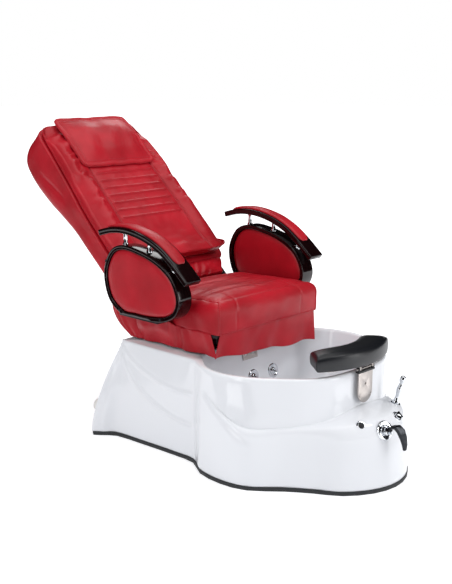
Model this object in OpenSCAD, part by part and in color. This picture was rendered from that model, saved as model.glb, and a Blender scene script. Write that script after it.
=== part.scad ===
// Pedicure spa chair: a massage chair on a moulded base with a foot basin.
// Millimetres, +Z up, the sitter faces -Y. The origin is on the floor under the base's waist.

/* [Base shell] */
// Width of the basin at its widest, at the floor
basin_w = 726; // [660:1:790]
// Width of the pedestal under the seat
pedestal_w = 600; // [570:1:640]
// Width across the flared rear corners at the floor
flare_w = 726; // [640:1:780]
// Waist to the front of the console, at the floor
front_len = 605; // [580:1:650]
// Waist to the rear edge, at the floor
rear_len = 459; // [430:1:500]
// Waist to the outside of the basin's front wall
basin_front = 462; // [445:1:480]
// Waist to the rear edge of the pedestal's top
rear_top = 362; // [350:1:380]
// Waist to the basin's rear wall
basin_rear = 28; // [10:1:40]
// Half width of the console lobe
console_half_w = 218; // [200:1:240]
// Height of the rim and of the pedestal's top
rim_h = 355; // [330:1:380]
// Height of the console's deck at the basin's wall
deck_h = 234; // [220:1:245]
// Height of the basin's floor
basin_floor_h = 150; // [120:1:180]
// Thickness of the moulding
shell_t = 5; // [4:0.5:7]
// Width of the rim's flat
rim_w = 17; // [15:1:24]
// Height of the rubber trim that the base stands on
trim_h = 14; // [10:1:20]

/* [Footrest] */
// Length of the footrest pad along its curve's chord
pad_l = 318; // [260:1:340]
// Depth of the footrest pad
pad_d = 104; // [80:1:120]
// Height of the footrest pad
pad_h = 58; // [40:1:70]
// Height of the pad's top above the basin's rim
pad_rise = 79; // [70:1:105]
// Width of the flat post
post_w = 72; // [60:1:80]
// Thickness of the flat post
post_t = 5; // [4:0.5:7]
// Length of the flat post
post_l = 102; // [92:1:106]
// Travel of the post in its guide
post_travel = 40; // [20:1:44]

/* [Console fittings] */
// Radius of the mixer's escutcheon
mixer_r = 31; // [28:0.5:34]
// Radius of the diverter's bezel
diverter_r = 18; // [15:0.5:20]
// Radius of the air button's bezel
button_r = 18; // [15:0.5:20]
// Press travel of the air button
button_travel = 4; // [2:0.5:5]
// Radius of the hand shower's grip
spray_r = 10; // [8:0.5:12]
// Length of the hand shower's grip
spray_l = 98; // [80:1:110]

/* [Basin fittings] */
// Radius of a jet's bezel
jet_r = 27; // [24:0.5:29]
// Radius of a jet's ball nozzle
jet_ball_r = 15; // [12:0.5:16]
// Width of the waterfall's plate
spout_w = 74; // [64:1:90]
// Radius of the drain's flange
drain_r = 42; // [36:1:48]
// Outside radius of the drain pipe
drain_pipe_r = 20; // [16:0.5:22]

/* [Seat] */
// Width of the seat cushion
seat_w = 512; // [480:1:524]
// Waist to the front of the seat cushion
seat_front = 78; // [60:1:95]
// Waist to the rear of the seat cushion
seat_rear = 296; // [280:1:305]
// Height of the seat cushion's underside above the basin's rim
seat_rise = 85; // [78:1:100]
// Thickness of the seat cushion at its front seam
cushion_t = 106; // [85:1:120]
// Thickness of the skirt's cloth
skirt_t = 4; // [3:0.5:6]
// Spacing of the two slide rails
rail_spacing = 300; // [240:2:360]
// Forward travel of the seat on its rails
slide_forward = 80; // [40:1:100]
// Rearward travel of the seat on its rails
slide_back = 30; // [10:1:40]

/* [Arms] */
// Distance from the centre plane to the middle of each arm
arm_x = 312; // [308:1:330]
// Width of the arm's ring
ring_w = 60; // [50:1:62]
// Thickness of the ring's band
ring_t = 15; // [12:0.5:18]
// Width of the bowed top bar
bar_w = 66; // [56:1:70]
// Thickness of the bowed top bar
bar_t = 20; // [16:0.5:24]
// Radius of the three posts of each arm
arm_post_r = 7; // [5:0.5:9]

/* [Back] */
// Recline of the back from the vertical, at rest
back_tilt = 46; // [40:1:50]
// Waist to the recline axis
pivot_y = 340; // [330:1:350]
// Height of the recline axis above the seat cushion's underside
pivot_rise = 30; // [22:1:40]
// Width of the back's shell at the hips
back_w = 536; // [500:1:544]
// Width of the back's shell at the head
head_w = 494; // [450:1:510]
// Length of the back above the recline axis
back_l = 815; // [760:1:840]
// Thickness of the back's padding
back_pad_t = 46; // [36:1:56]
// Thickness of the back shell's wall
back_wall = 8; // [6:0.5:10]
// Number of sewn channels across the back
channel_n = 6; // [4:1:8]
// Pitch of the sewn channels
channel_pitch = 36; // [28:1:40]
// Recline axis to the lowest sewn channel
channel_start = 322; // [300:1:340]
// Radius of the recline pins
recline_pin_r = 8; // [6:0.5:10]

/* [Massage drive] */
// Spacing of the two massage rails
massage_rail_spacing = 150; // [120:2:180]
// Radius of a kneading roller
roller_r = 17; // [14:0.5:19]

/* [Hidden] */
$fn = 48;
gap = 0.4;      // between pieces that only lie side by side
fit = 0.05;     // radial running clearance of a turning fit
slide_gap = 0.5; // clearance of a sliding fit
tiny = 0.01;

// Heights above the floor
pad_top_h = rim_h + pad_rise;
seat_under_h = rim_h + seat_rise;
seat_top_h = seat_under_h + cushion_t;
pivot_h = seat_under_h + pivot_rise;

// ---- Curves and lofts ----
function mix(a, b, t) = a + (b - a) * t;
function ease(t) = t * t * (3 - 2 * t);
function spline_at(p0, p1, p2, p3, t) = 0.5 * (2 * p1 + (p2 - p0) * t
    + (2 * p0 - 5 * p1 + 4 * p2 - p3) * t * t + (3 * p1 - p0 - 3 * p2 + p3) * t * t * t);
function flip(p) = [-p[0], p[1]];
// Half an outline through its guide points, square to the centre plane at both ends
function half_curve(c, sub) = let (n = len(c)) concat([for (i = [0:n - 2], s = [0:sub - 1])
    spline_at(i == 0 ? flip(c[1]) : c[i - 1], c[i], c[i + 1], i == n - 2 ? flip(c[n - 2]) : c[i + 2],
        s / sub)], [c[n - 1]]);
// An open curve through its guide points
function open_curve(c, sub) = let (n = len(c)) concat([for (i = [0:n - 2], s = [0:sub - 1])
    spline_at(c[max(i - 1, 0)], c[i], c[i + 1], c[min(i + 2, n - 1)], s / sub)], [c[n - 1]]);
// A closed curve through its guide points
function closed_curve(c, sub) = let (n = len(c)) [for (i = [0:n - 1], s = [0:sub - 1])
    spline_at(c[(i + n - 1) % n], c[i], c[(i + 1) % n], c[(i + 2) % n], s / sub)];
function values(c, sub) = concat([for (i = [0:len(c) - 2], s = [0:sub - 1])
    mix(c[i], c[i + 1], s / sub)], [c[len(c) - 1]]);
function whole(h) = concat(h, [for (i = [len(h) - 2:-1:1]) flip(h[i])]);
function whole_values(h) = concat(h, [for (i = [len(h) - 2:-1:1]) h[i]]);
function outward(r, j) = let (n = len(r), a = r[(j + n - 1) % n], b = r[(j + 1) % n],
    t = [b[0] - a[0], b[1] - a[1]]) [t[1], -t[0]] / norm(t);

// A skin through rings of points, closed by a flat face at each end
module loft(rows) {
    n = len(rows[0]);
    m = len(rows);
    sides = [for (k = [0:m - 2], j = [0:n - 1])
        let (a = k * n + j, b = k * n + (j + 1) % n, c = b + n, d = a + n)
        each [[a, c, b], [a, d, c]]];
    polyhedron([for (r = rows) each r], concat(sides,
        [[for (j = [0:n - 1]) j]], [[for (j = [n - 1:-1:0]) (m - 1) * n + j]]));
}

// A padded block: a crowned top over a grid, with sides drawn in to a flat base
module padded(nu, nv, top, side, base) {
    edge = concat([for (i = [0:nu - 1]) [i, 0]], [for (j = [0:nv - 1]) [nu, j]],
        [for (i = [nu:-1:1]) [i, nv]], [for (j = [nv:-1:1]) [0, j]]);
    ne = len(edge);
    ng = (nu + 1) * (nv + 1);
    grid = [for (j = [0:nv], i = [0:nu]) top(i / nu, j / nv)];
    mid = [for (e = edge) side(e[0] / nu, e[1] / nv)];
    low = [for (e = edge) base(e[0] / nu, e[1] / nv)];
    faces_top = [for (j = [0:nv - 1], i = [0:nu - 1])
        let (a = j * (nu + 1) + i, b = a + 1, c = a + nu + 2, d = a + nu + 1)
        each [[a, c, b], [a, d, c]]];
    rim = [for (e = edge) e[1] * (nu + 1) + e[0]];
    faces_side = [for (k = [0:ne - 1]) let (l = (k + 1) % ne)
        each [[rim[k], rim[l], ng + l], [rim[k], ng + l, ng + k],
            [ng + k, ng + l, ng + ne + l], [ng + k, ng + ne + l, ng + ne + k]]];
    // flat base: strips from side to side, with a fan at each end
    o = ng + ne;
    far = 2 * nu + nv;
    faces_base = concat(
        [for (j = [0:nv - 1]) each [[o + (ne - j - 1) % ne, o + (ne - j) % ne, o + 1],
            [o + nu - 1, o + nu + j, o + nu + j + 1]]],
        [[o + far - 1, o + far, o + 1], [o + nu - 1, o + nu + nv, o + nu + nv + 1]],
        [for (i = [1:nu - 2]) each [[o + i, o + i + 1, o + far - i - 1], [o + i, o + far - i - 1, o + far - i]]]);
    polyhedron(concat(grid, mid, low), concat(faces_top, faces_side, faces_base));
}

// A hanging cloth: a grid of points and the same grid moved by the cloth's thickness
module cloth(nu, nv, place, shift) {
    ng = (nu + 1) * (nv + 1);
    front = [for (j = [0:nv], i = [0:nu]) place(i / nu, j / nv)];
    back = [for (p = front) p + shift];
    edge = concat([for (i = [0:nu - 1]) i], [for (j = [0:nv - 1]) j * (nu + 1) + nu],
        [for (i = [nu:-1:1]) nv * (nu + 1) + i], [for (j = [nv:-1:1]) j * (nu + 1)]);
    ne = len(edge);
    faces = [for (j = [0:nv - 1], i = [0:nu - 1])
        let (a = j * (nu + 1) + i, b = a + 1, c = a + nu + 2, d = a + nu + 1)
        each [[a, b, c], [a, c, d], [ng + a, ng + c, ng + b], [ng + a, ng + d, ng + c]]];
    rim = [for (k = [0:ne - 1]) let (a = edge[k], b = edge[(k + 1) % ne])
        each [[a, ng + b, b], [a, ng + a, ng + b]]];
    polyhedron(concat(front, back), concat(faces, rim));
}

// A ring profile turned round Z: outer radius, inner radius, height
module tube(r1, r2, h) {
    difference() {
        cylinder(r = r1, h = h);
        translate([0, 0, -1]) cylinder(r = r2, h = h + 2);
    }
}
// A bar with round ends between two points
module rod(a, b, r) {
    d = b - a;
    l = norm(d);
    translate(a) rotate([0, acos(d[2] / l), atan2(d[1], d[0])]) cylinder(r = r, h = l);
}
// A rectangular tube along Y or X, from its middle
module box(size, at) { translate(at) cube(size, center = true); }
module mirrored() {
    children();
    mirror([1, 0, 0]) children();
}

// ---- Base shell ----
hw = basin_w / 2;
pw = pedestal_w / 2;
fw = flare_w / 2;
lw = console_half_w;
columns = 2; // columns of the moulding between two guide points

// Guide points of half the outline, from the front centre to the rear centre
floor_guide = [[0, -front_len], [0.41 * lw, 20 - front_len], [0.78 * lw, 77 - front_len],
    [lw, 155 - front_len], [lw + 50, 228 - front_len], [hw - 20, -285], [hw, -190],
    [hw - 14, -88], [pw + 2, -8], [pw - 1, 90], [pw + 6, 240], [pw + 16, 367],
    [fw - 12, rear_len - 45], [fw - 6, rear_len - 6], [0.5 * fw, rear_len], [0, rear_len]];
top_guide = [[0, -basin_front], [72, 1 - basin_front], [142, 13 - basin_front],
    [206, 48 - basin_front], [262, 109 - basin_front], [hw - 38, -262], [hw - 13, -175],
    [hw - 26, -88], [pw, -6], [pw - 4, 80], [pw - 4, 200], [pw - 4, 290], [pw - 6, rear_top - 18],
    [pw - 22, rear_top - 1], [0.5 * pw, rear_top], [0, rear_top]];
opening_guide = [[0, rim_w - basin_front], [69, rim_w + 1 - basin_front],
    [135, rim_w + 12 - basin_front], [195, 60 - basin_front], [248, 119 - basin_front],
    [hw - 38 - rim_w, -258], [hw - 13 - rim_w, -172], [hw - 26 - rim_w, -90],
    [pw - 26, basin_rear - 52], [pw - 52, basin_rear - 18], [pw - 98, basin_rear - 4],
    [150, basin_rear - 1], [110, basin_rear], [75, basin_rear], [40, basin_rear], [0, basin_rear]];
// Height of the crease where the basin's wall rises, round the outline
shoulder = [deck_h, deck_h - 4, deck_h - 14, deck_h - 25, deck_h - 36, deck_h - 41, deck_h + 2,
    deck_h + 50, rim_h - 60, rim_h - 60, rim_h - 60, rim_h - 60, rim_h - 60, rim_h - 60,
    rim_h - 60, rim_h - 60];
// How steeply the shoulder falls away from that crease, and each column's share of the pedestal
slant = [1, 1, 1, 1.2, 1.6, 1.8, 1.6, 1.2, 1, 1, 1, 1, 1, 1, 1, 1];
plainness = [0, 0, 0, 0, 0, 0, 0, 0.25, 0.75, 1, 1, 1, 1, 1, 1, 1];
bowl_centre = [0, -215];

floor_half = half_curve(floor_guide, columns);
top_half = half_curve(top_guide, columns);
floor_ring = whole(floor_half);
top_ring = whole(top_half);
opening_ring = whole(half_curve(opening_guide, columns));
shoulder_ring = whole_values(values(shoulder, columns));
slant_ring = whole_values(values(slant, columns));
plain_ring = whole_values(values(plainness, columns));
ring_n = len(floor_ring);

// The outer wall's steps: part of the way from the floor outline to the top outline, height
wall_n = 9;
function wall_step(k, s, m) = [[0, trim_h], [0.02, 0.3 * s], [0.04, s - 64 * m], [0.1, s - 34 * m],
    [0.2, s - 15 * m], [0.36, s - 5 * m], [0.7, s], [0.93, s + 3], [1, s + 16], [1, rim_h - 14]][k];
function plain_step(k) = [pow(k / wall_n, 1.5), mix(trim_h, rim_h - 14, k / wall_n)];
function wall_row(k) = [for (j = [0:ring_n - 1])
    let (q = mix(wall_step(k, shoulder_ring[j], slant_ring[j]), plain_step(k), plain_ring[j]),
        p = mix(floor_ring[j], top_ring[j], q[0])) [p[0], p[1], q[1]]];
function inset_row(ring, d, z) = [for (j = [0:ring_n - 1])
    let (o = outward(ring, j)) [ring[j][0] - d * o[0], ring[j][1] - d * o[1], z]];
function bowl_row(f, z) = [for (p = opening_ring)
    [mix(p[0], bowl_centre[0], f), mix(p[1], bowl_centre[1], f), z]];
bowl_rows = [bowl_row(0.015, rim_h - 5), bowl_row(0.05, rim_h - 60),
    bowl_row(0.12, basin_floor_h + 62), bowl_row(0.2, basin_floor_h + 22),
    bowl_row(0.32, basin_floor_h + 4), bowl_row(0.5, basin_floor_h)];
function under(row, d, dz) = [for (j = [0:ring_n - 1])
    let (o = outward(row, j)) [row[j][0] - d * o[0], row[j][1] - d * o[1], row[j][2] - dz]];
wall_drop = [0, 0, 0, 0, 1, 3, 5, 4, 1, 0];

module moulding() {
    t = shell_t;
    outside = concat([for (k = [0:wall_n]) wall_row(k)],
        [inset_row(top_ring, 3, rim_h - 3), inset_row(top_ring, 0.5 * rim_w, rim_h),
            bowl_row(0, rim_h)], bowl_rows);
    inside = concat([for (k = [0:wall_n]) under(wall_row(k), t, wall_drop[k])],
        [inset_row(top_ring, 3 + t, rim_h - 1.4 * t), inset_row(top_ring, 0.5 * rim_w, rim_h - t),
            under(bowl_row(0, rim_h), -t, t)],
        [for (r = bowl_rows) under(r, -t, t)]);
    loft(concat([for (k = [len(inside) - 1:-1:0]) inside[k]], outside));
}

module base_trim() {
    color([0.16, 0.17, 0.18]) linear_extrude(trim_h) difference() {
        polygon([for (p = inset_row(floor_ring, -2.5, 0)) [p[0], p[1]]]);
        polygon([for (p = inset_row(floor_ring, 9, 0)) [p[0], p[1]]]);
    }
}

// ---- Where the console's fittings stand on the shell ----
front_half = [for (k = [0:4 * columns]) floor_half[k]];
function floor_y(x) = lookup(abs(x), front_half);
function crease_drop(x) = lookup(abs(x), [[0, 0], [0.38 * lw, 4], [0.75 * lw, 14], [lw, 25]]);
function wall_in(z) = lookup(z, [for (k = [1:6]) [wall_step(k, deck_h, 1)[1], wall_step(k, deck_h, 1)[0]]]);
function console_y(x, z) = floor_y(x) + wall_in(z + crease_drop(x)) * (front_len - basin_front);
function console_yaw(x) = sign(x) * atan((floor_y(abs(x) + 6) - floor_y(abs(x) - 6)) / 12);
// Stands a fitting on the console, its axis out of the wall and up by a pitch; at = [x, z, pitch]
module on_console(at) {
    translate([at[0], console_y(at[0], at[1]), at[1]])
        rotate([0, 0, console_yaw(at[0])]) rotate([90 - at[2], 0, 0]) children();
}
mixer_at = [-45, deck_h - 40, 18];
button_at = [-108, deck_h - 21, 42];
diverter_at = [40, deck_h - 20, 42];
spray_at = [126, deck_h - 14, 76];
seat_depth = 2.5;     // depth of the flat that a fitting's flange sits on
stem_r = 11;          // thread of the small console fittings
mixer_stem_r = 19;
spray_stem_r = spray_r + 4;
nut_t = 7;
nut_at = shell_t + 11; // a back nut's face lies this far in, clear of the sloping wall

// Rear wall of the bowl, where the jets and the waterfall sit
function bowl_f(z) = lookup(z, [[basin_floor_h + 62, 0.12], [rim_h - 60, 0.05], [rim_h - 5, 0.015]]);
function bowl_y(z) = mix(basin_rear, bowl_centre[1], bowl_f(z));
function bowl_lean(z) = atan((bowl_y(z + 4) - bowl_y(z - 4)) / 8);
jet_h = rim_h - 128;
jet_xs = [-98, 6, 110];
spout_h = rim_h - 44;
spout_hole_r = 12;
spout_plate_h = 38;
module on_bowl(x, z) {
    translate([x, bowl_y(z), z]) rotate([90 - bowl_lean(z), 0, 0]) children();
}
jet_stem_r = jet_r - 5;
outlet_at = [-296, 84];  // x and z of the drain's outlet at the rear
outlet_r = drain_pipe_r + 3;

module fitting_hole(r, flange) {
    translate([0, 0, -30]) cylinder(r = r, h = 60);
    translate([0, 0, -seat_depth]) cylinder(r = flange + gap, h = 30);
}

module base_shell() {
    color("white") difference() {
        moulding();
        on_console(mixer_at) fitting_hole(mixer_stem_r + gap, mixer_r);
        on_console(button_at) fitting_hole(stem_r + gap, button_r);
        on_console(diverter_at) fitting_hole(stem_r + gap, diverter_r);
        on_console(spray_at) fitting_hole(spray_stem_r + gap, spray_stem_r + 5);
        for (x = jet_xs) on_bowl(x, jet_h) fitting_hole(jet_stem_r + gap, jet_r);
        on_bowl(0, spout_h) translate([0, 0, -30]) cylinder(r = spout_hole_r + gap, h = 60);
        translate([bowl_centre[0], bowl_centre[1], basin_floor_h - 20])
            cylinder(r = drain_pipe_r + 2 + gap, h = 40);
        translate([outlet_at[0], rear_len - 80, outlet_at[1]])
            rotate([-90, 0, 0]) cylinder(r = outlet_r + gap, h = 120);
    }
}

// ---- Frame under the moulding ----
tube_w = 30;
leg_x = pw - 62;
leg_ys = [70, 292];
deck_under = rim_h - shell_t;
bowl_under = basin_floor_h - shell_t;
spine_x = 105;
spine_front = -325;
tray_top = 38;

module chassis_frame() {
    color([0.2, 0.21, 0.22]) {
        for (s = [-1, 1], y = leg_ys) {
            box([tube_w, tube_w, deck_under - 4], [s * leg_x, y, 4 + (deck_under - 4) / 2]);
            box([60, 60, 4], [s * leg_x, y, 2]);
        }
        for (y = leg_ys) {
            box([2 * leg_x, tube_w, tube_w], [0, y, deck_under - tube_w / 2]);
            box([2 * leg_x, tube_w, tube_w], [0, y, 4 + tube_w / 2]);
        }
        for (s = [-1, 1]) {
            box([tube_w, leg_ys[1] - leg_ys[0], tube_w],
                [s * leg_x, (leg_ys[0] + leg_ys[1]) / 2, deck_under - tube_w / 2]);
            // spine under the bowl, with its front leg
            box([tube_w, leg_ys[1] - spine_front, tube_w],
                [s * spine_x, (leg_ys[1] + spine_front) / 2, bowl_under - tube_w / 2]);
            box([tube_w, tube_w, bowl_under - 4],
                [s * spine_x, spine_front, 4 + (bowl_under - 4) / 2]);
            box([60, 60, 4], [s * spine_x, spine_front, 2]);
            for (y = leg_ys)
                box([leg_x - spine_x, tube_w, tube_w],
                    [s * (leg_x + spine_x) / 2, y, bowl_under - tube_w / 2]);
            box([tube_w, tube_w, bowl_under - 4], [s * spine_x, 0, 4 + (bowl_under - 4) / 2]);
        }
        // cross tube under the waist, on the middle foot
        box([2 * spine_x, tube_w, tube_w], [0, 0, 4 + tube_w / 2]);
        box([60, 60, 4], [0, 0, 2]);
        // tray of the pump
        box([leg_x, leg_ys[1] - leg_ys[0], 4],
            [leg_x / 2, (leg_ys[0] + leg_ys[1]) / 2, tray_top - 2]);
    }
}

// ---- Seat rails and the seat's drive ----
rail_x = rail_spacing / 2;
rail_w = 44;
rail_h = 22;
rail_wall = 3;
rail_front = 118 - slide_forward;
rail_rear = 302 + slide_back;
rail_slot = 20;
screw_r = 6;
screw_h = rim_h + 13;
slide_motor_front = 268;
nut_y = 150;

module seat_rails() {
    color([0.12, 0.12, 0.13]) {
        for (s = [-1, 1]) translate([s * rail_x, rail_rear, rim_h]) rotate([90, 0, 0])
            linear_extrude(rail_rear - rail_front) difference() {
                translate([-rail_w / 2, 0]) square([rail_w, rail_h]);
                translate([-rail_w / 2 + rail_wall, rail_wall])
                    square([rail_w - 2 * rail_wall, rail_h - 2 * rail_wall]);
                translate([-rail_slot / 2, rail_h - 2 * rail_wall]) square([rail_slot, 20]);
            }
        // front bearing of the slide screw
        difference() {
            box([30, 10, 22], [0, rail_front + 5, rim_h + 11]);
            translate([0, rail_front - 1, screw_h]) rotate([-90, 0, 0])
                cylinder(r = screw_r - 1 + fit, h = 20);
        }
    }
}

module slide_motor() {
    color([0.25, 0.26, 0.28]) difference() {
        union() {
            box([56, 60, 23], [0, slide_motor_front + 30, rim_h + 11.5]);
            translate([26, slide_motor_front + 30, rim_h + 11.5]) rotate([0, 90, 0])
                cylinder(r = 11, h = 26);
        }
        translate([0, slide_motor_front - 1, screw_h]) rotate([-90, 0, 0])
            cylinder(r = screw_r - 1 + fit, h = 21);
    }
}

module slide_screw() {
    color("silver") {
        translate([0, rail_front + 10 + gap, screw_h]) rotate([-90, 0, 0])
            cylinder(r = screw_r, h = slide_motor_front - rail_front - 10 - 2 * gap);
        translate([0, rail_front + 2, screw_h]) rotate([-90, 0, 0])
            cylinder(r = screw_r - 1, h = slide_motor_front - rail_front + 14);
    }
}

// ---- Plumbing ----
drain_h = 84;       // height of the drain pipe's axis
drain_turn_y = 394; // where the pipe turns to the outlet
outlet_end = 36;    // how far the outlet stands out of the rear wall

module drain_fitting() {
    c = [bowl_centre[0], bowl_centre[1], 0];
    color("silver") difference() {
        translate(c) union() {
            translate([0, 0, basin_floor_h]) cylinder(r1 = drain_r, r2 = drain_r - 3, h = 3);
            translate([0, 0, basin_floor_h - 24]) cylinder(r = drain_pipe_r + 2, h = 25);
        }
        translate(c + [0, 0, basin_floor_h - 30]) cylinder(r = drain_pipe_r - 3, h = 29);
        for (k = [0:5]) translate(c) rotate([0, 0, 60 * k])
            translate([drain_pipe_r * 0.52, 0, basin_floor_h - 5]) cylinder(r = 3.2, h = 12);
    }
}

module drain_pipe() {
    c = bowl_centre;
    r = drain_pipe_r - 3.5;
    top = [c[0], c[1], basin_floor_h - 3];
    low = [c[0], c[1], drain_h];
    turn = [c[0], drain_turn_y, drain_h];
    side = [outlet_at[0], drain_turn_y, outlet_at[1]];
    end = [outlet_at[0], rear_len + outlet_end, outlet_at[1]];
    color([0.92, 0.92, 0.9]) difference() {
        union() {
            rod(low, top - [0, 0, 2], r);
            rod(low, turn, r);
            rod(turn, side, r);
            rod(side, end, r);
            for (p = [low, turn, side]) translate(p) sphere(r = r);
            // stub through the wall, and the spigot that takes the hose outside it
            translate([outlet_at[0], rear_len - 40, outlet_at[1]]) rotate([-90, 0, 0])
                cylinder(r = outlet_r - 1.5, h = 42 + tiny);
            translate([outlet_at[0], rear_len + 2, outlet_at[1]]) rotate([-90, 0, 0])
                cylinder(r = outlet_r, h = outlet_end - 2);
        }
        translate(end + [0, 1, 0]) rotate([90, 0, 0]) cylinder(r = r - 2.5, h = 50);
    }
}

jet_lip_r = jet_ball_r - 2.5;    // the socket's mouths are narrower than the ball
jet_ball_z = -seat_depth - 5;
module jet_bezels() {
    color("silver") for (x = jet_xs) on_bowl(x, jet_h) difference() {
        rotate_extrude() polygon([[jet_lip_r, -seat_depth - 14], [jet_stem_r, -seat_depth - 14],
            [jet_stem_r, -seat_depth], [jet_r, -seat_depth], [jet_r, 0], [jet_r - 3, 2.5],
            [jet_r - 7, 2.5], [jet_lip_r + 1.5, 0], [jet_lip_r, -1]]);
        translate([0, 0, jet_ball_z]) sphere(r = jet_ball_r + fit);
    }
}

// A ball that swivels in its bezel, with its nozzle's bore
module jet_nozzle(k) {
    color([0.75, 0.76, 0.78]) on_bowl(jet_xs[k], jet_h) translate([0, 0, jet_ball_z])
        difference() {
            union() {
                sphere(r = jet_ball_r);
                cylinder(r = 5.5, h = jet_ball_r + 2);
            }
            translate([0, 0, -jet_ball_r - 1]) cylinder(r = 3.5, h = 2 * jet_ball_r + 8);
        }
}

module waterfall_spout() {
    color("silver") on_bowl(0, spout_h) difference() {
        union() {
            // square frame with a raised border
            translate([-spout_w / 2, -spout_plate_h / 2, 1.2]) cube([spout_w, spout_plate_h, 3]);
            translate([0, 0, -28]) cylinder(r = spout_hole_r, h = 31);
        }
        translate([-spout_w / 2 + 7, -spout_plate_h / 2 + 7, 2.6])
            cube([spout_w - 14, spout_plate_h - 14, 10]);
        translate([-spout_w / 2 + 12, -4, 0.6]) cube([spout_w - 24, 8, 10]);
        translate([0, 0, -30]) cylinder(r = spout_hole_r - 3, h = 30);
    }
}

pump_at = [172, 188, 98];
module jet_pump() {
    color([0.13, 0.14, 0.16]) translate(pump_at) rotate([-90, 0, 0]) difference() {
        union() {
            translate([0, 0, -60]) cylinder(r = 40, h = 120);
            translate([0, 0, -88]) cylinder(r = 46, h = 30);
            translate([0, 0, -96]) cylinder(r = 18, h = 12);
            for (k = [0:11]) rotate([0, 0, 30 * k]) translate([38, -2, -50]) cube([6, 4, 100]);
            for (z = [-44, 44]) translate([-34, 30, z - 8])
                cube([68, pump_at[2] - tray_top - 30, 16]);
        }
        translate([0, 0, -100]) cylinder(r = 12, h = 30);
    }
}

// ---- Console fittings ----
// A flanged body through the wall with its back nut
module flanged(stem, flange, dome, bore, depth) {
    rotate_extrude() polygon([[bore, -depth], [stem, -depth], [stem, -seat_depth],
        [flange, -seat_depth], [flange, 0], [flange - 3, dome], [bore + 1.5, dome], [bore, dome - 1]]);
}
module back_nut(stem, depth) {
    translate([0, 0, -depth]) tube(stem + 6, stem - tiny, nut_t);
}

mixer_hub_r = 15;
mixer_depth = 46;
module mixer_body() {
    color("silver") on_console(mixer_at) {
        difference() {
            union() {
                flanged(mixer_stem_r, mixer_r, mixer_dome, mixer_hub_r - 4 + fit, mixer_depth);
                translate([0, 0, -mixer_depth - 10]) cylinder(r = mixer_stem_r, h = 18);
                for (s = [-1, 1]) translate([s * 11, 0, -mixer_depth - 26]) cylinder(r = 6, h = 20);
            }
            translate([0, 0, -mixer_depth - 4]) cylinder(r = mixer_hub_r - 4 + fit, h = 20);
        }
        translate([0, 0, -nut_at]) back_nut(mixer_stem_r, nut_t);
    }
}

mixer_dome = 6;
hub_h = 14;
hub_slot = 9;
lever_boss_r = 4.5;
lever_pin_r = 2;
lever_pin_z = mixer_dome + gap + 8; // the lever's tilt axis above the wall
module mixer_hub() {
    color([0.7, 0.71, 0.73]) on_console(mixer_at) difference() {
        union() {
            translate([0, 0, 2 - mixer_depth]) cylinder(r = mixer_hub_r - 4, h = mixer_depth + mixer_dome);
            translate([0, 0, mixer_dome + gap]) cylinder(r = mixer_hub_r, h = hub_h);
        }
        translate([-hub_slot / 2, -30, lever_pin_z - lever_boss_r - gap]) cube([hub_slot, 60, 40]);
        translate([-mixer_hub_r - 1, 0, lever_pin_z]) rotate([0, 90, 0])
            cylinder(r = lever_pin_r + fit, h = 2 * mixer_hub_r + 2);
    }
}

// Curved handle, hung on the hub's cross pin: lifts the flow, turns with the hub
lever_path = [[0, 4, 31], [6, 9, 37], [17, 6, 42], [26, -8, 44], [32, -29, 43], [36, -50, 39],
    [38, -66, 33]];
lever_r = [4, 5.5, 6, 6, 6, 5.5, 5];
lever_spread = [0, 5, 9, 10, 8, 5, 2]; // the handle is a broad blade: its half width less its radius
module lever_end(k) {
    for (s = [-1, 1]) translate(lever_path[k] + [s * lever_spread[k], 0, 0])
        sphere(r = lever_r[k], $fn = 16);
}
module mixer_lever() {
    color([0.22, 0.2, 0.2]) on_console(mixer_at) {
        // boss and neck in the hub's slot, on the cross pin
        translate([-4, 0, lever_pin_z]) rotate([0, 90, 0]) cylinder(r = lever_boss_r, h = 8);
        translate([-4, -4, lever_pin_z]) cube([8, 9, lever_path[0][2] - lever_pin_z]);
        translate([1 - mixer_hub_r, 0, lever_pin_z]) rotate([0, 90, 0])
            cylinder(r = lever_pin_r, h = 2 * mixer_hub_r - 2);
        for (k = [0:len(lever_path) - 2]) hull() {
            lever_end(k);
            lever_end(k + 1);
        }
    }
}

module diverter_body() {
    color("silver") on_console(diverter_at) {
        flanged(stem_r, diverter_r, 3, stem_r - 4 + fit, 30);
        translate([0, 0, -nut_at]) back_nut(stem_r, nut_t);
    }
}
module diverter_knob() {
    color([0.8, 0.8, 0.82]) on_console(diverter_at) {
        translate([0, 0, -28]) cylinder(r = stem_r - 4, h = 32);
        translate([0, 0, 3 + gap]) cylinder(r = 12, h = 5);
        translate([-4, -11, 8]) cube([8, 22, 8]);
    }
}

button_l = 20;                         // how far the button reaches into its bezel
bezel_l = button_l + button_travel + 6; // depth of the bezel's bore
module air_button_bezel() {
    color("silver") on_console(button_at) {
        difference() {
            flanged(stem_r, button_r, 3, stem_r - 2 + fit, bezel_l);
            translate([0, 0, -2.5]) cylinder(r = stem_r - 2 + fit, h = 20);
        }
        translate([0, 0, -bezel_l - 4]) cylinder(r = stem_r, h = 4 + tiny);
        translate([0, 0, -nut_at]) back_nut(stem_r, nut_t);
    }
}
module air_button() {
    color([0.18, 0.17, 0.18]) on_console(button_at)
        translate([0, 0, -button_l]) rotate_extrude() polygon([[0, 0], [stem_r - 2, 0],
            [stem_r - 2, button_l + 6], [stem_r - 4, button_l + 8], [0, button_l + 9]]);
}

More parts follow.
